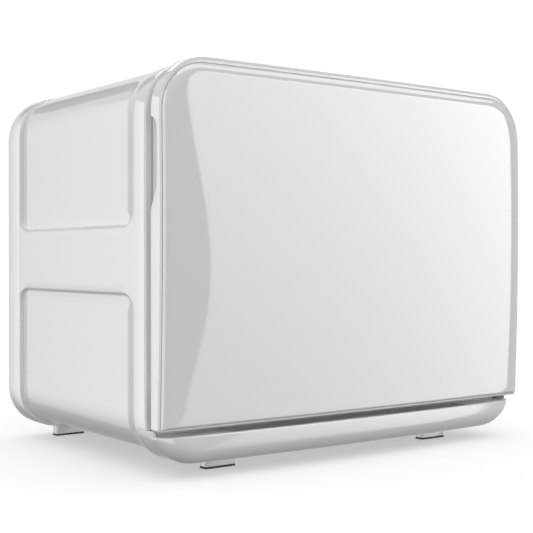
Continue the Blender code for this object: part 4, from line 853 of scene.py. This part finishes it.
class FRIDGE_OT_door(bpy.types.Operator):
    """Build the door's rim, its pillowed front, the finger pull and the magnetic seal"""
    bl_idname = "fridge.door"
    bl_label = "Door"

    def execute(self, context):
        crown = context.scene.fridge_door
        edge = crown.rim_round
        rings = []
        for sine, cosine in quarter_turn(6):
            side, top = edge * (1 - sine), crown.rim_round_top * (1 - sine)
            rings.append(on_front(crown, door_outline(crown, side, side, top), edge * (1 - cosine)))
        bevel = 0.0006
        inside = door_outline(crown, crown.wall, crown.wall, crown.lip_top)
        rings += [
            at(door_outline(crown, 0, 0, 0), DOOR_BACK - bevel),
            at(door_outline(crown, bevel, bevel, bevel), DOOR_BACK), at(inside, DOOR_BACK),
        ]
        seat = crown.panel_wall + GAP
        side, top = crown.lip_side, crown.lip_top
        opening = door_outline(crown, side, side, top)
        widen, sink = 0.0004, 0.0005     # width and depth of the bevel round the opening
        soft = door_outline(crown, side - widen, side - widen, top - widen)
        for points, behind in ((inside, seat), (opening, seat), (opening, sink), (soft, 0)):
            rings.append(on_front(crown, points, behind))
        rim = mesh_object("door_rim", loft(rings, closed=True))
        combine(rim, pin_space())
        combine(rim, pull_space(crown))
        arm_low, arm_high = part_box("hinge_bracket_top")
        beside, below, above = 0.003, 0.0047, 0.0025     # room round the hinge arm
        combine(rim, box_mesh(
            (arm_low.x - beside, DOOR_EDGE + 0.0002, arm_high.z - below),
            (HALF + GAP, FACE, arm_high.z + above),
        ))
        settle(rim, "door", "cabinet_white", "door_frame")

        gap = crown.gap
        side, low, top = crown.lip_side + gap, crown.lip_side + gap, crown.lip_top + gap
        rise = crown.panel_rise
        face = door_outline(
            crown, side + crown.panel_side, low + crown.panel_low, top + crown.panel_top,
        )
        rings = [on_front(crown, scaled(face, 0.02 + 0.98 * i / 28), -rise) for i in range(29)]
        steps = 14
        for i in range(1, steps + 1):
            share = i / steps
            points = door_outline(
                crown, side + crown.panel_side * (1 - share), low + crown.panel_low * (1 - share),
                top + crown.panel_top * (1 - share),
            )
            rings.append(on_front(crown, points, rise * (share ** 2 - 1)))
        outer = door_outline(crown, side, low, top)
        rings.append(on_front(crown, outer, crown.panel_wall))
        rings.append(on_front(crown, scaled(outer, 0.97), crown.panel_wall))
        for factor in (0.8, 0.4, 0.05):
            rings.append(on_front(crown, scaled(outer, factor), crown.panel_wall - rise))
        panel = mesh_object("door_face", loft(rings))
        settle(panel, "door", "door_gloss", "door_front_panel")

        pull = mesh_object("pull_pocket", box_mesh(PULL_LOW, PULL_HIGH))
        combine(pull, pull_space(crown))
        settle(pull, "door", "cabinet_white", "finger_pull")
        self.make_inner_lip(crown)
        self.make_seal(crown)
        return {"FINISHED"}

    def make_inner_lip(self, crown):
        """A low land on the door's back, outside the seal. It stops short of the hinges."""
        start, end = DOOR_BACK + 0.0002, FACE - 0.0018
        outer, inner = 0.008, 0.017
        rings = [
            at(door_outline(crown, inset, inset, inset), y)
            for inset, y in ((outer, start), (outer, end), (inner, end), (inner, start))
        ]
        lip = mesh_object("door_inner_lip", loft(rings, closed=True))
        hinge_side, foot = 0.20, DOOR_LOW + 0.03
        combine(lip, box_mesh((hinge_side, -FAR, -FAR), (FAR, FAR, FAR)))
        combine(lip, box_mesh((-FAR, -FAR, -FAR), (FAR, FAR, foot)))
        settle(lip, "door", "cabinet_white")

    def make_seal(self, crown):
        """The seal, with a bellows waist and a rounded magnetic lip."""
        low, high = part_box("door_gasket")
        half = high.x
        corner_low, corner_top = 0.010, crown.corner - (HALF - half)
        waist_depth, waist_end = 0.0020, 0.78
        tip_depth, tip_start = 0.0010, 0.85
        count = 16
        outside, inside = [], []
        for i in range(count + 1):
            share = i / count
            waist = waist_depth * math.sin(math.pi * min(share / waist_end, 1.0))
            tip = tip_depth * smooth((share - tip_start) / (1 - tip_start))
            y = low.y + (high.y - low.y) * share
            for rings, inset in ((outside, waist + tip), (inside, crown.seal_width - waist - tip)):
                rings.append(at(outline(
                    half - inset, low.z + inset, high.z - inset, corner_low - inset / 2,
                    corner_top - inset, arc=12,
                ), y))
        seal = mesh_object("door_seal", loft(outside + inside[::-1], closed=True))
        settle(seal, "door", "seal_grey", "door_gasket")


# ---------------------------------------------------------------- inside and back

SLAT_LEAN = -35.0        # degrees that the vent slats lean

class FRIDGE_OT_inside(bpy.types.Operator):
    """Give the carried-over pieces their finishes and add the small repeated detail"""
    bl_idname = "fridge.inside"
    bl_label = "Inside and back"

    def execute(self, context):
        looks = finishes()
        slots = {entry["node"]: entry["material_slot"] for entry in frame["record"]["subparts"]}
        for name, obj in frame["nodes"].items():
            obj.data.materials.clear()
            obj.data.materials.append(looks[slots[name]])
        self.add_louvres(looks)
        self.add_screws(looks)
        self.add_knob_ribs(looks)
        return {"FINISHED"}

    def add_louvres(self, looks):
        """Sloping slats behind the vent slots in the back cover."""
        rows, columns = 13, 4
        pitch, spacing, span = 0.012, 0.050, 0.040
        slat = rounded_bar("slat", (span - 0.0006, 0.0022, 0.0009), 0.0003)
        y = (COVER_LOW.y + COVER_HIGH.y) / 2
        places = [
            ((column - (columns - 1) / 2) * spacing, y, VENT_Z + (row - (rows - 1) / 2) * pitch)
            for row in range(rows) for column in range(columns)
        ]
        lean = (math.radians(SLAT_LEAN), 0, 0)
        louvres = copies("vent_slats", slat, places, looks["cover_white"], tilt=lean)
        settle(louvres, "cabinet", "cover_white")

    def add_screws(self, looks):
        """Cross-head screws through the back cover."""
        names = ["rear_screw_%d" % number for number in range(1, 7)]
        places = []
        for name in names:
            low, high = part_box(name)
            places.append(((low.x + high.x) / 2, COVER_HIGH.y + GAP, (low.z + high.z) / 2))
        low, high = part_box(names[0])
        radius = (high.x - low.x) / 2
        head = screw_head("head", radius, high.y - COVER_HIGH.y - GAP)
        heads = copies("cover_screws", head, places, looks["steel"])
        settle(heads, "cabinet", "steel", *names)

    def add_knob_ribs(self, looks):
        """Grip ribs round the thermostat knob."""
        low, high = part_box("thermostat_knob")
        centre_x, centre_z = (low.x + high.x) / 2, (low.z + high.z) / 2
        radius = (high.x - low.x) / 2 * 0.95
        count = 24
        depth = 0.0065
        rib = rounded_bar("rib", (0.0009, depth, 0.0009), 0.0003)
        places = at(circle(radius, count, centre_x, centre_z), high.y - 0.0015 - depth / 2)
        ribs = copies("knob_ribs", rib, places, looks["cover_white"])
        settle(ribs, "knob", "cover_white")


# ---------------------------------------------------------------- stage

CAMERA_PLACE = (-0.8027, -1.09025, 0.2215)
CAMERA_LENS = 73.43      # millimetres, on a sensor 36 wide
CAMERA_DIP = 0.416       # degrees that the camera looks down
CAMERA_TURN = -36.41     # degrees that it is turned about the upright axis

# How bright the room is, from straight down (0) to straight up (1)
WORLD_LEVELS = (
    (0.0, 0.06), (0.22, 0.09), (0.36, 0.36), (0.50, 0.62), (0.64, 0.84), (0.80, 0.86), (1.0, 0.82),
)
WORLD_UP, WORLD_ACROSS = 0.87, 0.5     # what a direction's height and reach along X add to it
FLOOR_GLOW = 0.31


def card(name, rows, strength, slope=(0.0, 0.0, 0.0)):
    """A glowing card that shows only in reflections. The slope makes it brighter along X, Y or Z."""
    bm = bmesh.new()
    pairs = [(bm.verts.new(left), bm.verts.new(right)) for left, right in rows]
    for (a, b), (c, d) in zip(pairs, pairs[1:]):
        bm.faces.new((a, b, d, c))
    obj = plain_object(name, bm)
    material = bpy.data.materials.new(name + "_glow")
    material.use_nodes = True
    tree = material.node_tree
    tree.nodes.clear()
    place = tree.nodes.new("ShaderNodeTexCoord")
    along = tree.nodes.new("ShaderNodeVectorMath")
    along.operation = "DOT_PRODUCT"
    tree.links.new(place.outputs["Object"], along.inputs[0])
    along.inputs[1].default_value = slope
    glow = tree.nodes.new("ShaderNodeEmission")
    tree.links.new(add_math(tree, "ADD", along.outputs["Value"], strength), glow.inputs["Strength"])
    out = tree.nodes.new("ShaderNodeOutputMaterial")
    tree.links.new(glow.outputs["Emission"], out.inputs["Surface"])
    obj.data.materials.append(material)
    obj.visible_camera = False
    obj.visible_diffuse = False
    obj.visible_shadow = False
    return obj


def upright(first, second, low, high):
    """The two rows of a card that stands between two places on the ground."""
    return [((*first, z), (*second, z)) for z in (low, high)]


def front_card_rows():
    """The big card in front of the door, with an edge that swells in the middle."""
    distance, far, middle = -2.0, 2.64, 0.12
    low, height = -1.4, 2.65
    edge, swell = 0.782, 0.090
    above, below = 0.80, 0.60
    rows = []
    steps = 40
    for i in range(steps + 1):
        z = low + height * i / steps
        turn = min(abs(z - middle) / (above if z > middle else below), 1.0)
        left = edge + swell * math.cos(QUARTER * turn) ** 2
        rows.append(((left, distance, z), (far, distance, z)))
    return rows


class FRIDGE_OT_stage(bpy.types.Operator):
    """Set up the pale floor, the soft lights and the camera"""
    bl_idname = "fridge.stage"
    bl_label = "Stage"

    def execute(self, context):
        scene = context.scene
        scene.view_settings.view_transform = "Standard"
        self.make_world(scene)
        self.make_floor()
        card("front_card", front_card_rows(), 2.3, (1.5, 0.0, 1.9))
        card("side_card", upright((-2.8, 2.5), (-0.85, 2.5), -1.9, 1.55), -1.15, (-2.3, 0.0, 0.0))
        card("edge_card", upright((-2.3, -0.9), (-0.75, -2.3), -0.6, 1.6), 4.2)
        card("top_card", [((-0.2, y, 2.4), (3.6, y, 2.4)) for y in (-2.6, 2.6)], 5.0)
        card("dark_flag", [((-0.63, 2.5, z), (0.24, 2.5, z)) for z in (1.5, 3.0)], 0.0)
        card("top_screen", upright((-2.5, -0.195), (2.5, -0.195), 0.432, 1.4), 0.7)
        camera = bpy.data.cameras.new("camera")
        camera.sensor_width = 36.0
        camera.lens = CAMERA_LENS
        camera.dof.use_dof = False
        eye = bpy.data.objects.new("camera", camera)
        eye.location = CAMERA_PLACE
        eye.rotation_euler = (math.radians(90 - CAMERA_DIP), 0.0, math.radians(CAMERA_TURN))
        scene.collection.objects.link(eye)
        scene.camera = eye
        return {"FINISHED"}

    def make_world(self, scene):
        """White where the camera looks past the object, and elsewhere a room that is dark below."""
        world = bpy.data.worlds.new("studio")
        world.use_nodes = True
        tree = world.node_tree
        background = tree.nodes["Background"]
        place = tree.nodes.new("ShaderNodeTexCoord")
        parts = tree.nodes.new("ShaderNodeSeparateXYZ")
        tree.links.new(place.outputs["Generated"], parts.inputs["Vector"])
        height = tree.nodes.new("ShaderNodeMapRange")
        height.inputs["From Min"].default_value = -1.0
        reach = add_math(tree, "ABSOLUTE", parts.outputs["X"], 0.0)
        sideways = add_math(tree, "MULTIPLY", reach, WORLD_ACROSS)
        upward = add_math(tree, "MULTIPLY", parts.outputs["Z"], WORLD_UP)
        tree.links.new(add_math(tree, "ADD", upward, sideways), height.inputs["Value"])
        ramp = tree.nodes.new("ShaderNodeValToRGB")
        tree.links.new(height.outputs["Result"], ramp.inputs["Fac"])
        stops = ramp.color_ramp.elements
        for position, level in WORLD_LEVELS[1:-1]:
            stops.new(position)
        for stop, (position, level) in zip(stops, WORLD_LEVELS):
            stop.position = position
            stop.color = (level, level, level, 1.0)
        path = tree.nodes.new("ShaderNodeLightPath")
        choose = tree.nodes.new("ShaderNodeMix")
        choose.data_type = "RGBA"
        tree.links.new(path.outputs["Is Camera Ray"], choose.inputs["Factor"])
        tree.links.new(ramp.outputs["Color"], choose.inputs["A"])
        choose.inputs["B"].default_value = (1.05, 1.05, 1.05, 1.0)
        tree.links.new(choose.outputs["Result"], background.inputs["Color"])
        scene.world = world

    def make_floor(self):
        """A wide pale floor that only the camera sees."""
        size = 30.0
        bm = bmesh.new()
        corners = [(-size, -size, 0), (size, -size, 0), (size, size, 0), (-size, size, 0)]
        bm.faces.new([bm.verts.new(corner) for corner in corners])
        floor = plain_object("floor", bm)
        material = bpy.data.materials.new("floor_paper")
        material.use_nodes = True
        shader = material.node_tree.nodes["Principled BSDF"]
        shader.inputs["Base Color"].default_value = (0.88, 0.88, 0.88, 1.0)
        shader.inputs["Roughness"].default_value = 1.0
        shader.inputs["Specular IOR Level"].default_value = 0.0
        shader.inputs["Emission Color"].default_value = (1.0, 1.0, 1.0, 1.0)
        shader.inputs["Emission Strength"].default_value = FLOOR_GLOW
        floor.data.materials.append(material)
        floor.visible_glossy = False
        floor.visible_diffuse = False


# ---------------------------------------------------------------- the add-on

class FRIDGE_PT_panel(bpy.types.Panel):
    """The fridge's pieces and sizes"""
    bl_idname = "FRIDGE_PT_panel"
    bl_label = "Mini Fridge"
    bl_space_type = "VIEW_3D"
    bl_region_type = "UI"
    bl_category = "Fridge"

    def draw(self, context):
        layout = self.layout
        for operator in OPERATORS:
            layout.operator(operator.bl_idname)
        for group in ("fridge_cabinet", "fridge_door", "fridge_colours"):
            values = getattr(context.scene, group)
            box = layout.box()
            for name in values.__annotations__:
                box.prop(values, name)


OPERATORS = (
    FRIDGE_OT_inside, FRIDGE_OT_cabinet, FRIDGE_OT_rear_frame, FRIDGE_OT_chin, FRIDGE_OT_feet,
    FRIDGE_OT_door, FRIDGE_OT_stage,
)
CLASSES = (FridgeCabinetSizes, FridgeDoorSizes, FridgeColours, *OPERATORS, FRIDGE_PT_panel)


def register():
    """Add the classes and the scene's settings."""
    for cls in CLASSES:
        bpy.utils.register_class(cls)
    bpy.types.Scene.fridge_cabinet = bpy.props.PointerProperty(type=FridgeCabinetSizes)
    bpy.types.Scene.fridge_door = bpy.props.PointerProperty(type=FridgeDoorSizes)
    bpy.types.Scene.fridge_colours = bpy.props.PointerProperty(type=FridgeColours)


def unregister():
    """Take the classes and the settings away again."""
    del bpy.types.Scene.fridge_colours
    del bpy.types.Scene.fridge_door
    del bpy.types.Scene.fridge_cabinet
    for cls in reversed(CLASSES):
        bpy.utils.unregister_class(cls)


def main():
    """Build every piece in order."""
    register()
    for name in list(bpy.data.objects.keys()):
        if name in ("Cube", "Light", "Camera"):
            bpy.data.objects.remove(bpy.data.objects[name], do_unlink=True)
    for operator in OPERATORS:
        group, name = operator.bl_idname.split(".")
        getattr(getattr(bpy.ops, group), name)()


if __name__ == "__main__":
    main()
